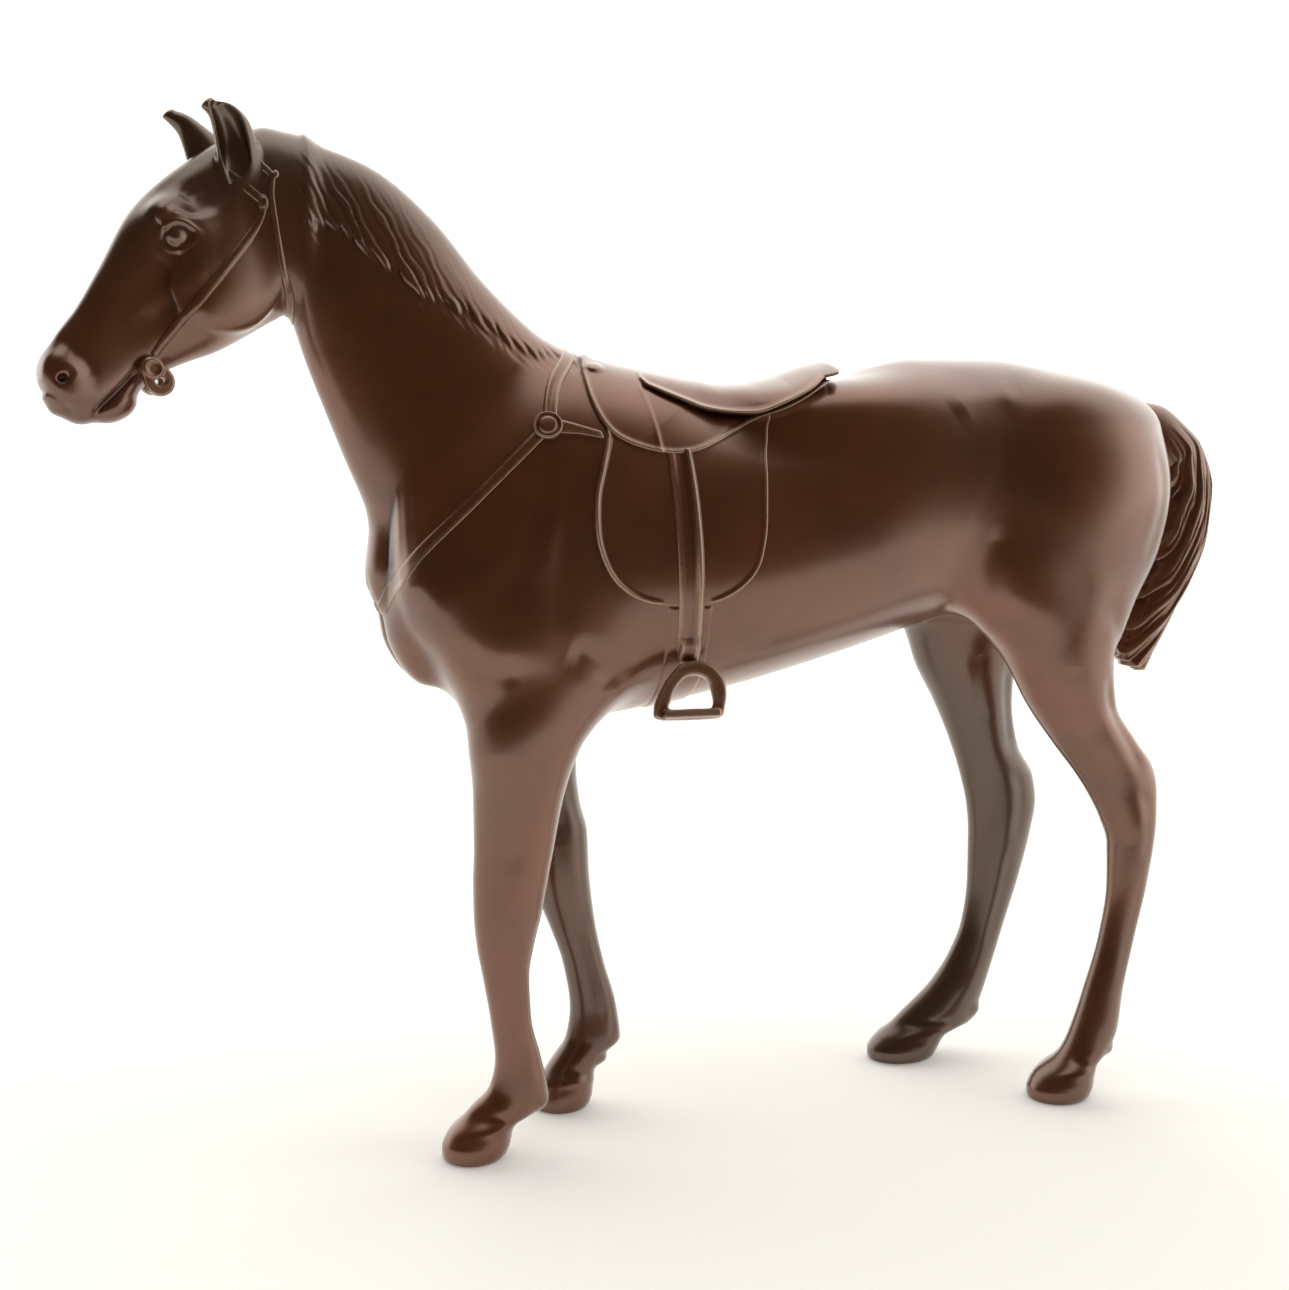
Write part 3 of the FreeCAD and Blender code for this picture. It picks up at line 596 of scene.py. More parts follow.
def mane(block, field):
    """Locks of the mane falling down and back over the near side."""
    crest = [(-93, 204), (-84, 204.1), (-76, 202), (-69, 198.6), (-62.6, 193.6), (-56.7, 187.3),
             (-48.7, 178.3), (-40.5, 170.6), (-32.2, 164.8), (-26.9, 162), (-22, 161)]
    hem = [(-93, 190), (-86, 189.6), (-82, 186.2), (-78, 185.4), (-75, 185), (-71, 183),
           (-67, 179.6), (-63, 176.4), (-57, 173.2), (-52, 171.8), (-47.5, 168.4), (-42, 165.2),
           (-36.5, 162.6), (-30, 161.4), (-22, 160.4)]
    px, pz = side_axes(block)
    deep, along = path_distance(px, pz, crest)
    across = px * 0.894 + pz * 0.447
    down = -(px * -0.447 + pz * 0.894)
    wave = 0.28 * np.sin(down * 0.5 + across * 0.6) + 0.14 * np.sin(down * 1.1 - across * 0.9)
    c = (across + wave) / 1.75
    lock = np.floor(c)
    u = c - lock
    random = np.mod(np.sin(lock * 12.9898) * 43758.5453, 1.0)
    hem_z = np.interp(px.ravel(), [p[0] for p in hem], [p[1] for p in hem])[:, None]
    tip = (pz - hem_z) * 0.95 + 2.4 * (random - 0.4) - 3.0 * np.abs(u - 0.45) ** 1.3
    cover = np.clip(tip / 2.0 + 0.5, 0, 1)
    cover = cover * cover * (3 - 2 * cover)
    strength = np.clip((deep - 2.5) / 9.0, 0, 1) ** 1.2 * (0.35 + 0.65 * random)
    fade = np.clip((along - 0.02) * 14, 0, 1) * np.clip((px + 85.5) / 6, 0, 1)
    round_lock = np.sqrt(np.clip(1 - (2 * u - 1) ** 2, 0, 1))
    fine = 0.5 + 0.5 * np.cos(2 * math.pi * (across + wave * 1.2) / 0.78)
    finer = 0.5 + 0.5 * np.cos(2 * math.pi * (across + wave) / 1.27 + 1.1)
    height = 0.75 * cover * (0.36 + (0.5 * round_lock - 0.25) * (0.06 + 0.94 * strength)
                             + (0.13 * fine + 0.1 * finer) * (0.15 + 0.85 * strength)) * fade
    shade = -0.12 * np.exp(-((tip + 1.6) / 1.2) ** 2) * fade * (px > -84)
    y = block.y
    mask = np.clip((1.2 - y) / 2.4, 0, 1)
    field -= ((height + shade)[:, None, :] * mask).astype(np.float32)
    return field


def leg_detail(block, field, name):
    """Tendons, joints, hoof edge and ergot of one leg, all kept shallow."""
    rows = np.array(LEGS[name][0])
    fore = name.startswith("fore")
    order = np.argsort(rows[:, 1])

    def at(z, part):
        """Side-view x across the leg at a level: 0 front, 1 back; and y."""
        front = np.interp(z, rows[order, 1], rows[order, 0])
        back = np.interp(z, rows[order, 3], rows[order, 2])
        return front + (back - front) * part, np.interp(z, rows[order, 1], rows[order, 5])

    def line(levels, part):
        """Points down the leg, each at its share of the way across."""
        return [(at(z, p)[0], z) for z, p in zip(levels, part)]

    if fore:
        stroke(block, field, line([46, 38, 30, 22, 16], [0.64, 0.62, 0.62, 0.64, 0.64]), 1.3, 0.22)
        stroke(block, field, line([86, 76, 66, 59], [0.56, 0.54, 0.50, 0.46]), 2.2, 0.35)
    else:
        stroke(block, field, line([96, 88, 80, 73], [0.80, 0.80, 0.78, 0.74]), 1.8, 0.6)
        stroke(block, field, line([100, 90, 80], [0.42, 0.40, 0.38]), 2.4, 0.3)
        stroke(block, field, line([70, 64, 58, 52], [0.68, 0.68, 0.66, 0.64]), 1.6, 0.3)
        stroke(block, field, line([50, 42, 34, 26], [0.6, 0.6, 0.6, 0.62]), 1.3, 0.22)
    # ergot tuft, coronet and the rounded foot of the hoof wall
    x, y = at(10.6, 0.9)
    blob(block, field, (x, y, 10.6), (2.4, 2.9, 1.9), 1.6, lean=-12)
    fx = at(6.6, 0.0)[0]
    bx = at(6.6, 1.0)[0]
    stroke(block, field, [(fx - 1.5, 5.6), ((fx + bx) / 2, 6.9), (bx + 1.5, 5.6)], 1.0, -0.2,
           taper=False)
    stroke(block, field, [(fx - 2, 7.6), ((fx + bx) / 2, 8.8), (bx - 1, 7.4)], 1.2, 0.3)
    field += (0.5 * np.clip(1 - block.z / 1.3, 0, 1) ** 2).astype(np.float32)
    return field


def level_cut(block, z):
    """Signed height above a level."""
    return (block.z - z).astype(np.float32)


# --------------------------------------------------------------- the patina
def set_inputs(node, **values):
    """Fill in node inputs by name, an underscore standing for a space."""
    for key, value in values.items():
        node.inputs[key.replace("_", " ")].default_value = value


BLACK = (0, 0, 0, 1)
WHITE = (1, 1, 1, 1)


def patina(name, base, pale, worn):
    """Dark lacquered bronze: brown lacquer, darker in the hollows, partly as patina gathered there
    and partly as painted shade, with the metal showing a little where hands and dusters reach."""
    mat = bpy.data.materials.new(name)
    mat.use_nodes = True
    tree = mat.node_tree
    links = tree.links
    bsdf = tree.nodes["Principled BSDF"]

    def node(kind, **values):
        made = tree.nodes.new(kind)
        for key, value in values.items():
            setattr(made, key, value)
        return made

    coords = node("ShaderNodeTexCoord")

    def noise(scale, detail, rough=0.55):
        made = node("ShaderNodeTexNoise")
        set_inputs(made, Scale=scale, Detail=detail, Roughness=rough)
        links.new(coords.outputs["Object"], made.inputs["Vector"])
        return made.outputs["Fac"]

    def ramp(source, stops):
        made = node("ShaderNodeValToRGB")
        while len(made.color_ramp.elements) < len(stops):
            made.color_ramp.elements.new(0.5)
        for element, (where, colour) in zip(made.color_ramp.elements, stops):
            element.position = where
            element.color = colour
        links.new(source, made.inputs["Fac"])
        return made.outputs["Color"]

    def math_node(kind, a, b):
        made = node("ShaderNodeMath", operation=kind)
        for slot, value in zip(made.inputs, (a, b)):
            if isinstance(value, float):
                slot.default_value = value
            else:
                links.new(value, slot)
        return made.outputs[0]

    def mix(factor, a, b):
        made = node("ShaderNodeMix", data_type="RGBA")
        for slot, value in ((made.inputs[0], factor), (made.inputs[6], a), (made.inputs[7], b)):
            if isinstance(value, (float, tuple)):
                slot.default_value = value
            else:
                links.new(value, slot)
        return made.outputs[2]

    broad = ramp(noise(38, 3), [(0.36, (*[c * 0.82 for c in base], 1)),
                                (0.66, (*[c * 1.2 for c in base], 1))])
    olive = (base[0] * 0.42, base[1] * 0.8, base[2] * 1.1, 1)
    parts = node("ShaderNodeSeparateXYZ")
    links.new(coords.outputs["Object"], parts.inputs[0])

    def rise(axis, low, high):
        made = node("ShaderNodeMapRange", interpolation_type="SMOOTHSTEP")
        set_inputs(made, From_Min=low, From_Max=high)
        links.new(parts.outputs[axis], made.inputs["Value"])
        return made.outputs["Result"]

    # the patina is greener in broad random patches, and greener and darker high up and on the far
    # side, partly its own tone and partly painted shade
    height = rise("Z", 0.150, 0.205)
    far = rise("Y", 0.0, 0.012)
    patches = ramp(noise(17, 2), [(0.5, BLACK), (0.74, WHITE)])
    share = math_node("MAXIMUM", math_node("MULTIPLY", height, 0.75),
                      math_node("MULTIPLY", far, 0.8))
    share = math_node("MAXIMUM", share, math_node("MULTIPLY", patches, 0.4))
    colour = mix(share, broad, olive)
    speckle = ramp(noise(900, 2, 0.7), [(0.30, BLACK), (0.72, WHITE)])
    # the hollows are darkened in the colour: partly patina gathered there, partly painted shade
    relief = node("ShaderNodeAttribute", attribute_name="relief").outputs["Fac"]
    hollow = ramp(math_node("MULTIPLY", relief, -3.0), [(0.12, BLACK), (0.8, WHITE)])
    colour = mix(math_node("MULTIPLY", hollow, 0.85), colour,
                 (base[0] * 0.2, base[1] * 0.28, base[2] * 0.4, 1))
    edge = ramp(math_node("ADD", math_node("MULTIPLY", relief, 1.9),
                          math_node("MULTIPLY", speckle, 0.14)),
                [(worn, BLACK), (min(worn + 0.42, 1.0), WHITE)])
    colour = mix(math_node("MULTIPLY", edge, 0.7), colour, (*pale, 1))
    links.new(colour, bsdf.inputs["Base Color"])
    set_inputs(bsdf, Metallic=0.6, Roughness=0.32, Coat_Weight=0.9, Coat_Roughness=0.22,
               Coat_IOR=1.7)
    bump = node("ShaderNodeBump")
    set_inputs(bump, Strength=0.12, Distance=0.0003)
    links.new(math_node("ADD", noise(420, 3, 0.6), math_node("MULTIPLY", noise(95, 2), 1.6)),
              bump.inputs["Height"])
    links.new(bump.outputs["Normal"], bsdf.inputs["Normal"])
    return mat


METALS = {"bronze": patina("bronze", (0.160, 0.049, 0.0145), (0.30, 0.18, 0.11), 0.42),
          "tack_bronze": patina("tack_bronze", (0.165, 0.051, 0.016), (0.42, 0.28, 0.19), 0.30)}


# ------------------------------------------------------------ body castings
trunk = Block((-73, -32, 84), (113, 32, 170), 0.5)
skin = body_field(trunk)
shape = np.maximum(skin, above_joint(trunk))
for name, (stations, level, k) in LEGS.items():
    side = -1 if name.endswith("left") else 1
    own = tube(trunk, stations, cap=LEG_CAPS)
    under = np.maximum(np.maximum(level_cut(trunk, level), own - 1.6), -side * trunk.y)
    shape = np.maximum(shape, -under)
tail_skin = tube(trunk, TAIL, cap=(1.0, 1.2))
shape = np.maximum(shape, 0.35 - tail_skin)
mesh_from(trunk, shape, "torso", "bronze", skin=skin)
del skin, shape, tail_skin

neck_block = Block((-90, -20, 116), (-20, 20, 207), 0.33)
shape = body_field(neck_block)
shape = join(shape, tube(neck_block, HEAD, cap=HEAD_CAPS), 4.0)
mane(neck_block, shape)
skin = shape
below = above_joint(neck_block)
shape = np.maximum(skin + 0.05 * (below < 0), -below - OVERLAP)
shape = np.maximum(shape, -86.9 - neck_block.x)
mesh_from(neck_block, shape, "neck", "bronze", bend=True, skin=skin)
del shape, skin

for name, (stations, level, k) in LEGS.items():
    rows = np.array(stations)
    use = rows[rows[:, 1] < level + 8]
    block = Block((use[:, [0, 2]].min() - 5, use[:, 5].mean() - 15, -1.5),
                  (use[:, [0, 2]].max() + 6, use[:, 5].mean() + 15, level + 2), 0.36)
    own = tube(block, stations, cap=LEG_CAPS)
    blend = np.clip((block.z - (level - 13)) / 9, 0, 1)
    skin = own * (1 - blend) + body_field(block) * blend
    leg_detail(block, skin, name)
    shape = np.maximum(skin + 0.04 * (block.z > level), own - 1.6)
    shape = np.maximum(np.maximum(shape, level_cut(block, level + OVERLAP)), -block.z)
    skin = np.maximum(skin, -block.z)
    mesh_from(block, shape, name, "bronze", skin=skin)

# Tail: long grooved locks, cut off blunt.
block = Block((103, -9, 93), (133, 9, 160), 0.24)
shape = tube(block, TAIL, cap=(1.5, 0.9))
outer = curve([(107, 158.2), (114.3, 156.7), (120.4, 152.9), (125.7, 147.5), (128.7, 137),
               (127.8, 126), (122.9, 114.4), (116.8, 103.6), (111, 93.5)], 10)
deep, along = path_distance(*side_axes(block), outer)
deep, along = deep[:, None, :], along[:, None, :]
swirl = (deep - 15 * along + 0.5 * np.abs(block.y) + 0.7 * np.sin(along * 11)
         + 0.3 * np.sin(along * 23 + deep * 0.6))
locks = np.sin(2 * math.pi * swirl / 3.9) * 0.34 + np.sin(2 * math.pi * swirl / 1.7 + 1) * 0.14
locks += 0.07 * np.sin(2 * math.pi * (swirl + along * 6) / 0.9)
grow = np.clip(along * 4 - 0.5, 0.0, 1) * np.clip(deep * 0.5 + 0.25, 0, 1)
shape = shape - (locks * grow).astype(np.float32)
trunk_part = tube(block, BARREL, cap=BARREL_CAPS)
shape = np.maximum(shape, -(trunk_part - 0.05))
mesh_from(block, shape, "tail", "bronze", wear_and_shade=0.13)


# -------------------------------------------------------------------- head
def head_field(block):
    """Skin of the head, drawn straight ahead, with its face."""
    field = tube(block, HEAD, cap=HEAD_CAPS)
    if near_box(block, NECK, 6.0):
        field = join(field, tube(block, NECK, cap=NECK_CAPS), 4.0)
    for side in (-1, 1):
        blob(block, field, (-97.0, side * 6.0, 174.5), (10, 2.7, 8.5), 4, lean=30)
        blob(block, field, (-108.2, side * 5.4, 183.0), (6.2, 2.7, 5.2), 3.5, lean=40)
        blob(block, field, (-103.8, side * 7.9, 190.2), (4.6, 1.3, 2.6), 3.5, lean=38, cut=True)
        blob(block, field, (-114, side * 7.3, 176.6), (6.4, 1.2, 4.2), 4, lean=50, cut=True)
        blob(block, field, (-117.5, side * 6.5, 165.4), (8.5, 1.1, 3.6), 4, lean=45, cut=True)
        blob(block, field, (-128.0, side * 2.5, 155.8), (2.4, 1.7, 3.2), 3.4, lean=30)
    blob(block, field, (-118.4, 0, 150.4), (4.3, 3.3, 2.5), 2.0, lean=25)
    blob(block, field, (-124.4, 0, 149.0), (2.8, 2.9, 1.9), 1.5)
    lines = [
        ([(-102, 179.4), (-106.6, 174.6), (-111, 171.2), (-118, 166.0)], 2.2, -0.26),
        ([(-100.5, 175.6), (-106, 170.4), (-112.6, 165.4)], 2.2, 0.2),
        ([(-104.4, 169), (-107.2, 163.5), (-111, 159.4)], 2.0, 0.25),
        ([(-120, 171.5), (-124, 164.5), (-127.4, 160)], 1.6, 0.15),
        ([(-106.4, 188.4), (-104.3, 190.4), (-101.5, 191.9)], 1.1, 0.25),
        ([(-115.0, 157.3), (-117.3, 154.7), (-120.2, 151.6), (-122.9, 149)], 0.6, 0.62),
        ([(-114.3, 155.4), (-116.6, 152.6), (-119.6, 149.8)], 0.9, -0.2),
        ([(-131.4, 151.2), (-129.2, 149.9), (-126.8, 149.6)], 0.7, 0.35),
        ([(-125.6, 155.0), (-126.6, 156.9), (-128.8, 157.6)], 0.8, -0.16),
        ([(-123.2, 155.4), (-124.6, 158.4), (-127.4, 159.8)], 1.3, 0.16),
    ]
    for points, width, depth in lines:
        stroke(block, field, points, width, depth)
    for side in (-1, 1):
        # nostril
        blob(block, field, (-128.5, side * 5.6, 155.0), (1.05, 2.3, 0.8), 0.8, lean=30, cut=True)
        # eye: socket, ball and lids
        blob(block, field, (-108.1, side * 8.95, 181.7), (2.7, 1.1, 2.1), 1.2, lean=-15, cut=True)
        blob(block, field, (-108.1, side * 6.3, 181.6), (1.9, 1.75, 1.7), 0.6)
    upper = [(-111.2, 180.6), (-110.8, 182.6), (-109.2, 184.0), (-107.2, 184.1), (-105.6, 183.2),
             (-104.3, 182.6)]
    lower = [(-110.9, 180.4), (-109.6, 179.2), (-107.8, 179.1), (-106.2, 180.2), (-104.6, 182.2)]
    stroke(block, field, upper, 0.5, -0.3)
    stroke(block, field, lower, 0.5, -0.2)
    stroke(block, field, [(-110.6, 185.4), (-107.5, 186.6), (-104.4, 185.4)], 1.1, 0.12)
    stroke(block, field, [(-112.4, 184.8), (-110.2, 187.2), (-107, 187.9), (-103.8, 186.6)],
           1.5, -0.18)
    return field


head_block = Block((-134.5, -12, 144), (-82, 12, 207), 0.27)
head_skin = head_field(head_block)
shape = np.maximum(head_skin, head_block.x + 86.3)
mesh_from(head_block, shape, "head", "bronze", bend=True, skin=head_skin)
del shape

EARS = {
    "left": [(-98.4, 186.5, -90.6, 188.5, 1.6, -3.6), (-98.8, 191.4, -89.6, 193.4, 2.6, -5.0),
             (-99.5, 195.0, -90.4, 197.4, 3.1, -5.6), (-100.3, 199.3, -92.1, 201.7, 3.1, -6.2),
             (-101.0, 202.2, -94.3, 204.9, 2.7, -6.7), (-101.8, 204.2, -97.4, 206.8, 2.1, -7.0),
             (-103.1, 205.2, -100.8, 207.4, 1.2, -7.1)],
    "right": [(-97.4, 188, -89.6, 191, 1.8, 3.6), (-99.6, 194.0, -90.4, 196.6, 2.8, 5.0),
              (-101.4, 198.0, -92.2, 200.8, 3.0, 5.8), (-102.2, 201.2, -95.2, 203.8, 2.8, 6.3),
              (-103.0, 203.6, -98.0, 205.8, 2.4, 6.7), (-104.4, 205.2, -100.8, 207.4, 1.9, 7.0),
              (-105.5, 206.0, -103.2, 208.0, 1.2, 7.1)],
}
for word, rows in EARS.items():
    side = -1 if word == "left" else 1
    block = Block((-108, -12, 189), (-86, 12, 211), 0.2)
    shape = tube(block, rows, cap=(2.0, 0.7))
    hollow = [0.25, 0.5, 0.74, 0.78, 0.74]
    inner = [(a + 0.4, b + 1.0, a + (c - a) * 0.62, b + 1.0 + (d - b) * 0.62, h * k,
              m + side * (2.1 - 1.1 * k))
             for (a, b, c, d, h, m), k in zip(rows[1:-1], hollow)]
    shape = carve(shape, tube(block, inner, cap=(3.0, 1.2)), 0.8)
    skull = head_field(block)
    shape = np.maximum(join(shape, skull, 1.8) + 0.12, -(skull + 0.8))
    mesh_from(block, shape, "ear_" + word, "bronze", bend=True)


# -------------------------------------------------------------------- tack
def relief_piece(low, high, step, outline, thick, node, skin_of=None, rim=0.0, sides=0,
                 soft=0.7, rim_width=0.55, sink=0.7, bend=False, profile=None, closed=True,
                 wear_and_shade=0.0):
    """A raised piece that lies on the skin inside a side-view outline."""
    block = Block(low, high, step)
    skin = (skin_of or body_field)(block)
    px, pz = side_axes(block)
    if closed:
        edge = inside_path(px, pz, outline)
    else:
        lines, width = outline
        lines = lines if isinstance(lines[0], list) else [lines]
        edge = np.min([path_distance(px, pz, curve(line))[0] for line in lines], axis=0)
        edge = edge - width / 2
    tall = np.full(edge.shape, thick)
    if rim:
        tall = tall + rim * np.exp(-((edge + rim_width) / rim_width) ** 2)
    if profile is not None:
        tall = tall + profile(px, pz, edge)
    shape = join_max(skin - tall[:, None, :], edge[:, None, :], soft)
    outside = shape
    shape = np.maximum(shape, -(skin + sink))
    if sides:
        shape = np.maximum(shape, -sides * block.y)
    mesh_from(block, shape, node, "tack_bronze", bend=bend, skin=outside, wear_and_shade=wear_and_shade)


SKIRT = smooth_outline([
    (-24, 164.5), (-27.6, 161.5), (-28.2, 156), (-27, 150.6), (-24.4, 146.6), (-20, 144.2),
    (-14, 142.9), (-8, 143.2), (-3, 145), (2, 147.6), (7, 150.4), (13, 152.6), (19, 156),
    (25, 160), (25, 166), (0, 168)])
FLAP = smooth_outline([
    (-25.6, 146), (-27.4, 140), (-28.8, 134), (-28.6, 126), (-26.2, 119.4), (-22.4, 115.4),
    (-17.5, 113.3), (-10.5, 112.6), (-4.5, 113.3), (0.5, 115.8), (4.2, 120), (5.8, 126.5),
    (6.5, 134), (7.5, 142), (8.6, 148), (8.2, 152.4), (-8, 153), (-24, 152)])


def flap_work(px, pz, edge):
    """Raised lip of the flap, broken where the leather passes over it."""
    gap = np.clip((np.abs(px + 10.2) - 4.6) / 1.6, 0, 1)
    gap = np.maximum(gap, pz > 122)
    front = 0.45 + 0.3 * np.exp(-((pz - 141) / 6) ** 2) * (px < 0)
    return front * gap * np.exp(-((edge + 0.42) / 0.42) ** 2) * np.clip((149.5 - pz) / 3, 0, 1)


def skirt_work(px, pz, edge):
    """Pommel nail, the strap sewn over the skirt and the line under the seat."""
    nail = 0.6 * np.exp(-(((px + 25.4) / 2.1) ** 2 + ((pz - 160.6) / 1.0) ** 2) ** 2)
    strap, _ = path_distance(px, pz, [(-16.6, 156), (-15.9, 150), (-15, 143)])
    tuck, _ = path_distance(px, pz, SEAT_HEM)
    below = pz < np.interp(px.ravel(), [p[0] for p in SEAT_HEM], [p[1] for p in SEAT_HEM])[:, None]
    panel = 1.5 * np.clip((px - 4) / 7, 0, 1) * np.clip(1.9 - tuck, 0, 1) * below
    groove = 0.45 * np.exp(-(tuck / 0.6) ** 2) * np.clip((px + 18) / 4, 0, 1)
    return nail + 0.22 * np.exp(-(strap / 0.5) ** 2) + panel - groove


SEAT_HEM = curve([(-15.4, 156.8), (-12.6, 155.4), (-9.5, 154), (-5.4, 152.3), (-1.3, 151.4),
                  (3, 151), (7, 151.2), (12, 153.3), (17.4, 156), (21.5, 158.8)])
relief_piece((-31, -27, 139), (29, 27, 167), 0.3, SKIRT, 0.65, "saddle_skirt",
             rim=0.3, soft=0.5, rim_width=0.45, profile=skirt_work)


# The seat lies over the skirt: side panels down to a hem, a hollow top line
# and a cantle that stands well clear of the back.
block = Block((-23, -24, 148), (33, 24, 168), 0.28)
px, pz = side_axes(block)
CANTLE = [(24.6, 159.6), (27.0, 161.0), (28.4, 163.0), (27.8, 165.4), (25.0, 168), (-14, 170),
          (-16.6, 166), (-16.4, 158.4)]
seat_edge = inside_path(px, pz, SEAT_HEM + CANTLE)
thick = np.interp(px.ravel(), [-17, -13, -6, 2, 8, 14, 20, 26, 31],
                  [0.5, 1.15, 1.6, 2.0, 2.6, 3.3, 4.2, 4.6, 4.6])[:, None, None]
top = np.interp(px.ravel(), [-24, -20, -12.8, -6, 0.6, 8, 14.2, 20, 24.5, 28, 30.4],
                [162.4, 162.0, 160.9, 159.6, 158.9, 159.3, 160.6, 162.9, 164.2, 163.2, 161.0])
top = top[:, None, None]
skin = body_field(block)
lift = 0.55 * np.exp(-((seat_edge + 0.6) / 0.5) ** 2)[:, None, :]
outside = join_max(skin - thick - lift, seat_edge[:, None, :], 0.9)
outside = join_max(outside, (block.z - top + 0.011 * block.y ** 2) * 0.95, 1.6)
shape = np.maximum(outside, -(skin + 0.6))
mesh_from(block, shape, "saddle_seat", "tack_bronze", skin=outside, wear_and_shade=0.02)


LEATHER = [(-13.5, 144), (-13.2, 136), (-12.6, 124), (-11.9, 112), (-11.4, 104.5), (-10.4, 101),
           (-6.6, 101), (-6.3, 106), (-6.9, 118), (-7.6, 130), (-8.3, 144)]
GIRTH = [(-14.2, 113), (-13.8, 104), (-13.2, 84), (-3.5, 84), (-4.2, 104), (-4.6, 113)]


def leather_work(px, pz, edge):
    """The stirrup leather: a strong rear roll, a faint front one, a bare
    loop under the flap."""
    rear = np.interp(pz.ravel(), [101, 106, 118, 130, 144], [-6.6, -6.5, -7.1, -7.8, -8.5])[None, :]
    front = np.interp(pz.ravel(), [101, 112, 124, 136, 144],
                      [-10.6, -11.8, -12.6, -13.1, -13.4])[None, :]
    roll = 0.9 * np.exp(-((px - rear + 0.85) / 0.75) ** 2)
    faint = 0.15 * np.exp(-((px - front - 0.6) / 0.55) ** 2)
    loop = 0.7 * np.clip((106.5 - pz) / 2.0, 0, 1) * (px > -10.6)
    return roll + faint + loop


for side, word in SIDES:
    y0, y1 = (-29, -8) if side < 0 else (8, 29)
    relief_piece((-31, y0, 110), (12, y1, 154), 0.3, FLAP, 0.22, "flap_" + word,
                 soft=0.3, sides=side, profile=flap_work)
    relief_piece((-17, y0, 99), (-3, y1, 146), 0.25, LEATHER, 0.55,
                 "stirrup_leather_" + word, soft=0.35, sides=side,
                 profile=leather_work)
    relief_piece((-42, y0, 142), (-24, y1, 153), 0.22,
                 [(-35.4, 149.6), (-31.6, 148.6), (-26.6, 147.2), (-26.2, 145.6), (-31, 146.4),
                  (-35.4, 146.6)],
                 0.8, "saddle_strap_" + word, soft=0.5, sides=side)
# the girth's colour is set darker through a lowered relief offset: painted shade for the shadow that
# lies over it
relief_piece((-18, -26, 82), (-1, 26, 120.5), 0.32, GIRTH, 0.3, "girth", soft=1.0, wear_and_shade=-0.08)
COLLAR_LINE = [(-38.6, 146.4), (-47, 138.2), (-57, 128.4), (-62.5, 122.6), (-66, 117),
               (-68, 112)]
relief_piece((-74, -26, 106), (-34, 26, 150), 0.3, (COLLAR_LINE, 2.2), 0.3,
             "breast_collar", soft=0.35, closed=False,
             profile=lambda px, pz, edge: 0.5 * np.clip((px + 61) / 8, 0, 1) - 0.16)
relief_piece((-42, -25, 145), (-22, 25, 166), 0.24,
             ([(-36.4, 149.4), (-35.6, 153.5), (-34.0, 157.5), (-31, 161.5), (-28.6, 164.5)], 2.7),
             0.3, "withers_strap", soft=0.3, closed=False,
             profile=lambda px, pz, edge: 0.25 * np.exp(-((edge + 0.45) / 0.35) ** 2))


def on_skin(x, z, side, field_of):
    """Point of the skin at a side-view place, and the outward direction."""
    block = Block((x - 1, -30 if side < 0 else 0, z - 1), (x + 1, 0 if side < 0 else 30, z + 1), 0.5)
    f = field_of(block)
    i, k = f.shape[0] // 2, f.shape[2] // 2
    ys = block.y.ravel()
    inside = np.nonzero(f[i, :, k] < 0)[0]
    j = inside[0] if side < 0 else inside[-1]
    slope = np.array([f[i + 1, j, k] - f[i - 1, j, k], f[i, j + 1, k] - f[i, j - 1, k],
                      f[i, j, k + 1] - f[i, j, k - 1]])
    slope /= np.linalg.norm(slope)
    return np.array([x, ys[j], z]) - slope * f[i, j, k], slope


def placed(axis, up=(0, 0, 1)):
    """Rotation that stands local z along an axis."""
    z = np.array(axis, dtype=float)
    z /= np.linalg.norm(z)
    x = np.cross(up, z)
    x /= np.linalg.norm(x)
    return np.stack([x, np.cross(z, x), z], axis=1)


def round_piece(radius, height, dome, ring, at, axis, node, bend=False, step=0.13):
    """A round stud: a domed disc in a raised ring, drawn along local z."""
    block = Block((-radius - 1, -radius - 1, -3.5), (radius + 1, radius + 1, height + 1.6), step)
    r = np.sqrt(block.x ** 2 + block.y ** 2)
    top = height - dome * (r / radius) ** 2
    top = top - ring * np.exp(-((r - radius * 0.72) / (radius * 0.12)) ** 2)
    shape = join_max((block.z - top) * 0.9, r - radius, 0.5)
    shape = np.maximum(shape, -(block.z + 2.5))
    mesh_from(block, shape, node, "tack_bronze", bend=bend,
              move=(placed(axis), np.array(at, dtype=float)))


for side, word in SIDES:
    spot, facing = on_skin(-36.9, 147.8, side, body_field)
    round_piece(2.95, 1.45, 0.35, 0.5, spot, facing, "collar_boss_" + word)

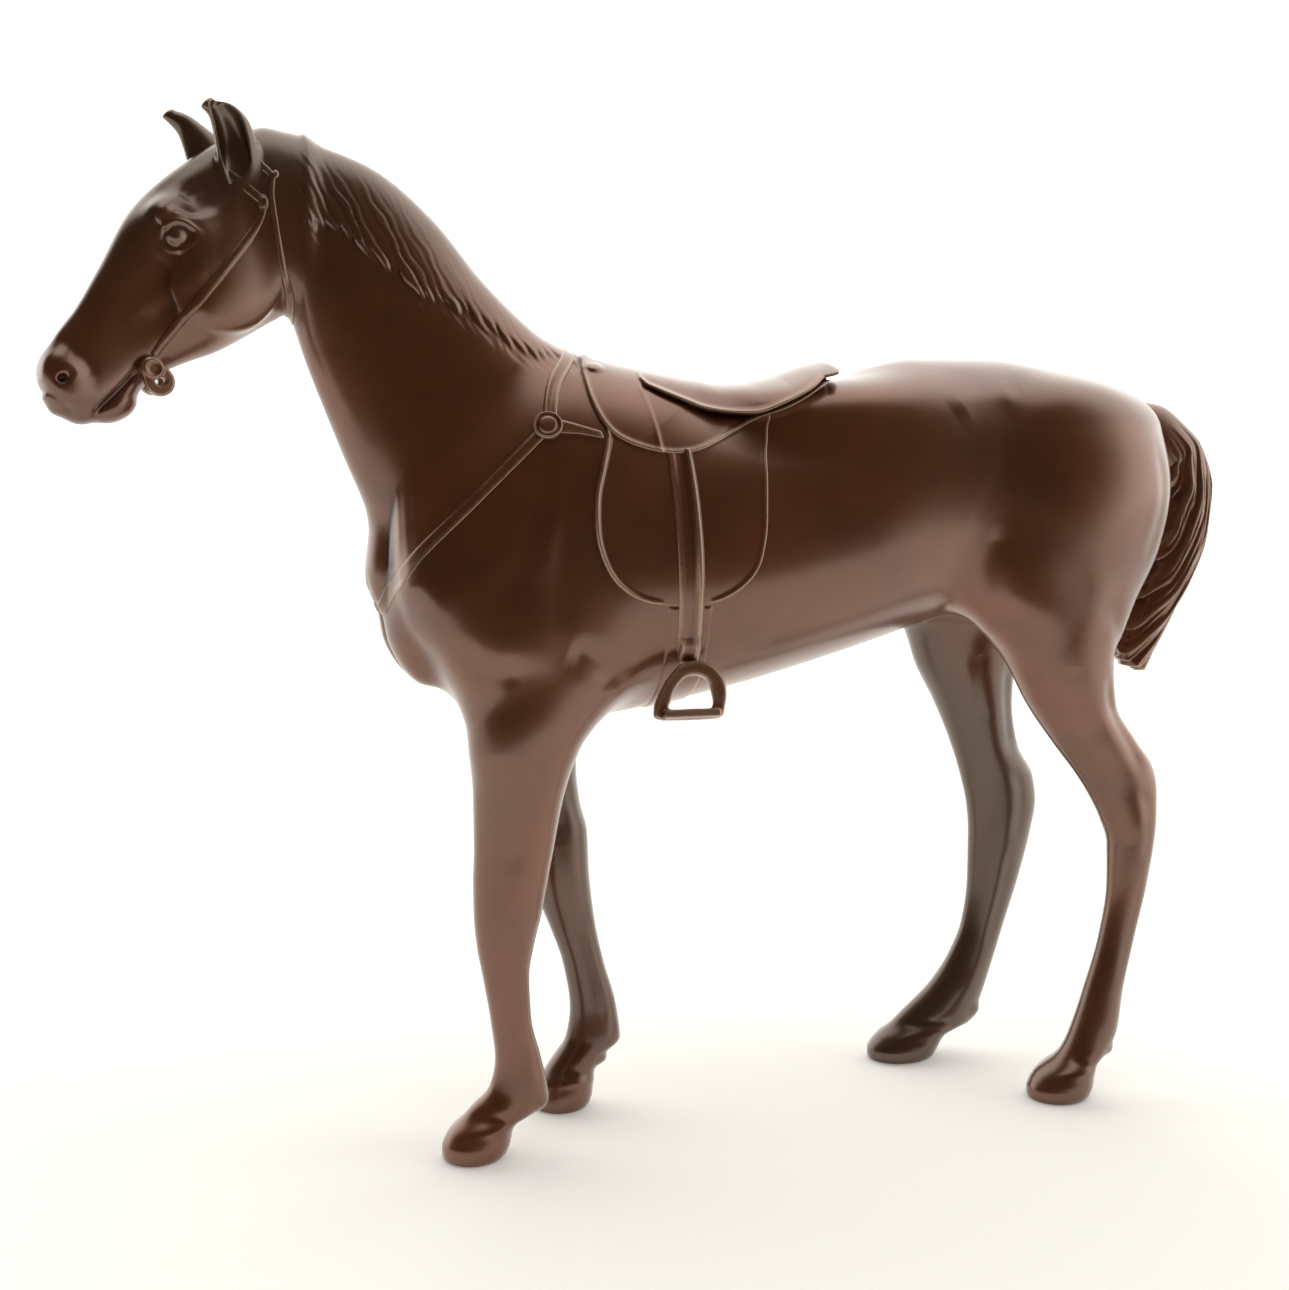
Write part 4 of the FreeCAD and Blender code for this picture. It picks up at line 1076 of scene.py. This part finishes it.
# Stirrup irons: a flat arch with a broad tread, its foot swung out.
for side, word in SIDES:
    block = Block((-9, -4, -8), (9, 4, 8), 0.16)
    px, pz = side_axes(block)
    outer = inside_path(px, pz, smooth_outline([
        (-7.6, -5.2), (-8.1, -3.2), (-7.2, -0.8), (-5.6, 1.9), (-3.6, 4.2), (-1.4, 5.9),
        (1.2, 6.3), (3.6, 5.7), (5.6, 4.2), (6.9, 2.0), (7.2, -0.6), (6.6, -3.4), (5.8, -5.2),
        (3, -5.6), (-3, -5.6)], 6))
    hole = inside_path(px, pz, smooth_outline([
        (-4.9, -3.4), (-4.6, -1.6), (-3.4, 0.8), (-1.2, 2.9), (1.4, 3.3), (3.4, 2.3),
        (4.2, -0.2), (4.0, -3.3), (0, -3.5)], 6))
    y = block.y
    arch = join_max(np.maximum(outer, -hole)[:, None, :], np.abs(y) - 1.0, 0.7)
    tread = join_max(np.abs(block.x + 0.6) - 6.0,
                     join_max(np.abs(y) - 2.4, np.abs(block.z + 4.5) - 0.85, 0.5), 0.8)
    shape = join(arch, tread, 0.5)
    turn = math.radians(side * 14)
    move = np.array([[1, 0, 0], [0, math.cos(turn), -math.sin(turn)],
                     [0, math.sin(turn), math.cos(turn)]])
    mesh_from(block, shape, "stirrup_iron_" + word, "tack_bronze",
              move=(move, np.array([-8.7, side * 22.8, 95.5])), wear_and_shade=0.15)


# ------------------------------------------------------------------ bridle
def strap_piece(low, high, line, width, thick, node, side=0, step=0.18):
    """A bridle strap raised on the head."""
    relief_piece(low, high, step, (line, width), thick, node, skin_of=head_field,
                 soft=0.5, closed=False, sides=side, bend=True, sink=0.5, wear_and_shade=-0.04,
                 profile=lambda px, pz, edge: -0.25 * np.clip((edge + width / 2) / width, 0, 1))


strap_piece((-98, -12, 166), (-80, 12, 208),
            [[(-95.5, 203.4), (-93.2, 199.5), (-91.1, 196.4), (-88.6, 194.3), (-88.8, 190.6),
              (-87.7, 184.6), (-86.1, 177.8), (-84.6, 172.5), (-84.6, 168)],
             [(-88.4, 194.2), (-87.4, 194.8)]],
            1.7, 0.4, "throat_latch")
for side, word in SIDES:
    y0, y1 = (-12, 0.5) if side < 0 else (-0.5, 12)
    strap_piece((-116, y0, 158), (-88, y1, 197),
                [[(-91.6, 187.6), (-93.2, 185), (-99.2, 177.4), (-105, 169.9), (-110.2, 162.8),
                  (-111.8, 160.2)],
                 [(-97.9, 194.6), (-95, 191.9), (-92.4, 190.1)]],
                2.0, 0.4, "cheek_strap_" + word, side)
    spot, facing = on_skin(-91.2, 189.2, side, head_field)
    round_piece(1.6, 0.7, 0.35, 0.12, spot, facing, "rosette_" + word, bend=True, step=0.1)
    # bit cheek with its ring, pierced
    block = Block((-5.5, -5.5, -1.6), (5.5, 5.5, 1.8), 0.12)
    x, y, z = block.x, block.y, block.z
    disc = np.sqrt((x + 1.3) ** 2 + (y - 2.3) ** 2) - 2.25
    ring = np.sqrt(x ** 2 + y ** 2) - 2.75
    plate = join(disc, ring, 1.2)
    dish = 0.28 * np.exp(-((np.sqrt((x + 1.3) ** 2 + (y - 2.3) ** 2) - 1.5) / 0.4) ** 2)
    hole = np.sqrt((x * 0.9) ** 2 + (y * 1.15) ** 2) - 0.85
    shape = join_max(join_max(plate, np.abs(z) - 0.85 - dish, 0.6), -hole, 0.4)
    turn = np.stack([(1, 0, 0), (0, 0, 1), (0, -1, 0)], axis=1).astype(float)
    mesh_from(block, shape, "bit_" + word, "tack_bronze", bend=True,
              move=(turn, np.array([-111.6 + (2.2 if side > 0 else 0.0), side * 5.4,
                                    155.2 + (1.0 if side > 0 else 0.0)])))

# Cross pins are filed flush and coloured over, so they stay under the skin.
PIN_RADIUS = 0.9
# x, y of both ends, z
PINS = {"neck_pin": (-43.1, -16, 16, 136.4), "head_pin": (-80, -6.5, 6.5, 187.6),
        "tail_pin": (104.6, -8, 8, 148.8),
        "fore_pin_left": (-38.5, -17, -8, 91.5), "fore_pin_right": (-33.5, 8, 17, 91.5),
        "hind_pin_left": (81.5, -19, -10, 101.5), "hind_pin_right": (74.5, 10, 19, 101.5)}
for name, (x, y0, y1, z) in PINS.items():
    bpy.ops.mesh.primitive_cylinder_add(
        vertices=24, radius=PIN_RADIUS * MM, depth=(y1 - y0) * MM,
        location=(x * MM, (y0 + y1) / 2 * MM, z * MM), rotation=(math.pi / 2, 0, 0))
    pin = bpy.context.object
    pin.name = name + "_rod"
    pin.data.materials.append(METALS["bronze"])
    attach(pin, "root")
    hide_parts(name)

# ------------------------------------------------------------------ camera
scene = bpy.context.scene
scene.view_settings.view_transform = "Standard"
CAMERA_AT = Vector((-99.73, -296.95, 130.19))       # millimetres
CAMERA_LOOKS = Vector((0.28282, 0.95521, -0.08716))
camera_data = bpy.data.cameras.new("camera")
camera_data.sensor_width = 36.0
camera_data.lens = 40.5
camera = bpy.data.objects.new("camera", camera_data)
camera.location = CAMERA_AT * MM
camera.rotation_euler = CAMERA_LOOKS.to_track_quat("-Z", "Y").to_euler()
camera_data.clip_start = 0.01
scene.collection.objects.link(camera)
scene.camera = camera

# ------------------------------------------------------- floor and light
floor_mat = bpy.data.materials.new("floor")
floor_mat.use_nodes = True
set_inputs(floor_mat.node_tree.nodes["Principled BSDF"], Base_Color=(0.94, 0.94, 0.91, 1),
           Emission_Color=(1, 0.995, 0.98, 1), Emission_Strength=0.22, Roughness=0.8,
           Specular_IOR_Level=0.2)
FLOOR_SIZE = 6.0
FLOOR_FRONT = -0.29       # its near edge, close behind the camera's foot
bpy.ops.mesh.primitive_plane_add(size=FLOOR_SIZE, location=(0, FLOOR_FRONT + FLOOR_SIZE / 2, 0))
floor = bpy.context.object
floor.name = "floor"
floor.data.materials.append(floor_mat)

# A white tent, open toward the viewer, so the near side mirrors a dim room.
world = bpy.data.worlds.new("studio")
scene.world = world
world.use_nodes = True
tree = world.node_tree
background = tree.nodes["Background"]
coords = tree.nodes.new("ShaderNodeTexCoord")


def aim(direction, low, high):
    """Smooth step of how far a sky direction leans along a vector."""
    dot = tree.nodes.new("ShaderNodeVectorMath")
    dot.operation = "DOT_PRODUCT"
    dot.inputs[1].default_value = direction
    tree.links.new(coords.outputs["Generated"], dot.inputs[0])
    step = tree.nodes.new("ShaderNodeMapRange")
    step.interpolation_type = "SMOOTHSTEP"
    set_inputs(step, From_Min=low, From_Max=high)
    tree.links.new(dot.outputs["Value"], step.inputs["Value"])
    return step.outputs["Result"]


def product(a, b):
    """Product of two node outputs."""
    made = tree.nodes.new("ShaderNodeMath")
    made.operation = "MULTIPLY"
    tree.links.new(a, made.inputs[0])
    tree.links.new(b, made.inputs[1])
    return made.outputs[0]


dim = product(aim((-0.52, -0.8, 0.28), -0.06, 0.42), aim((0.0, 0.0, -1.0), -0.99, -0.84))
light = tree.nodes.new("ShaderNodeMix")
light.data_type = "RGBA"
light.inputs[6].default_value = (1.64, 1.60, 1.51, 1)
light.inputs[7].default_value = (0.095, 0.062, 0.042, 1)
tree.links.new(dim, light.inputs[0])
tree.links.new(light.outputs[2], background.inputs["Color"])
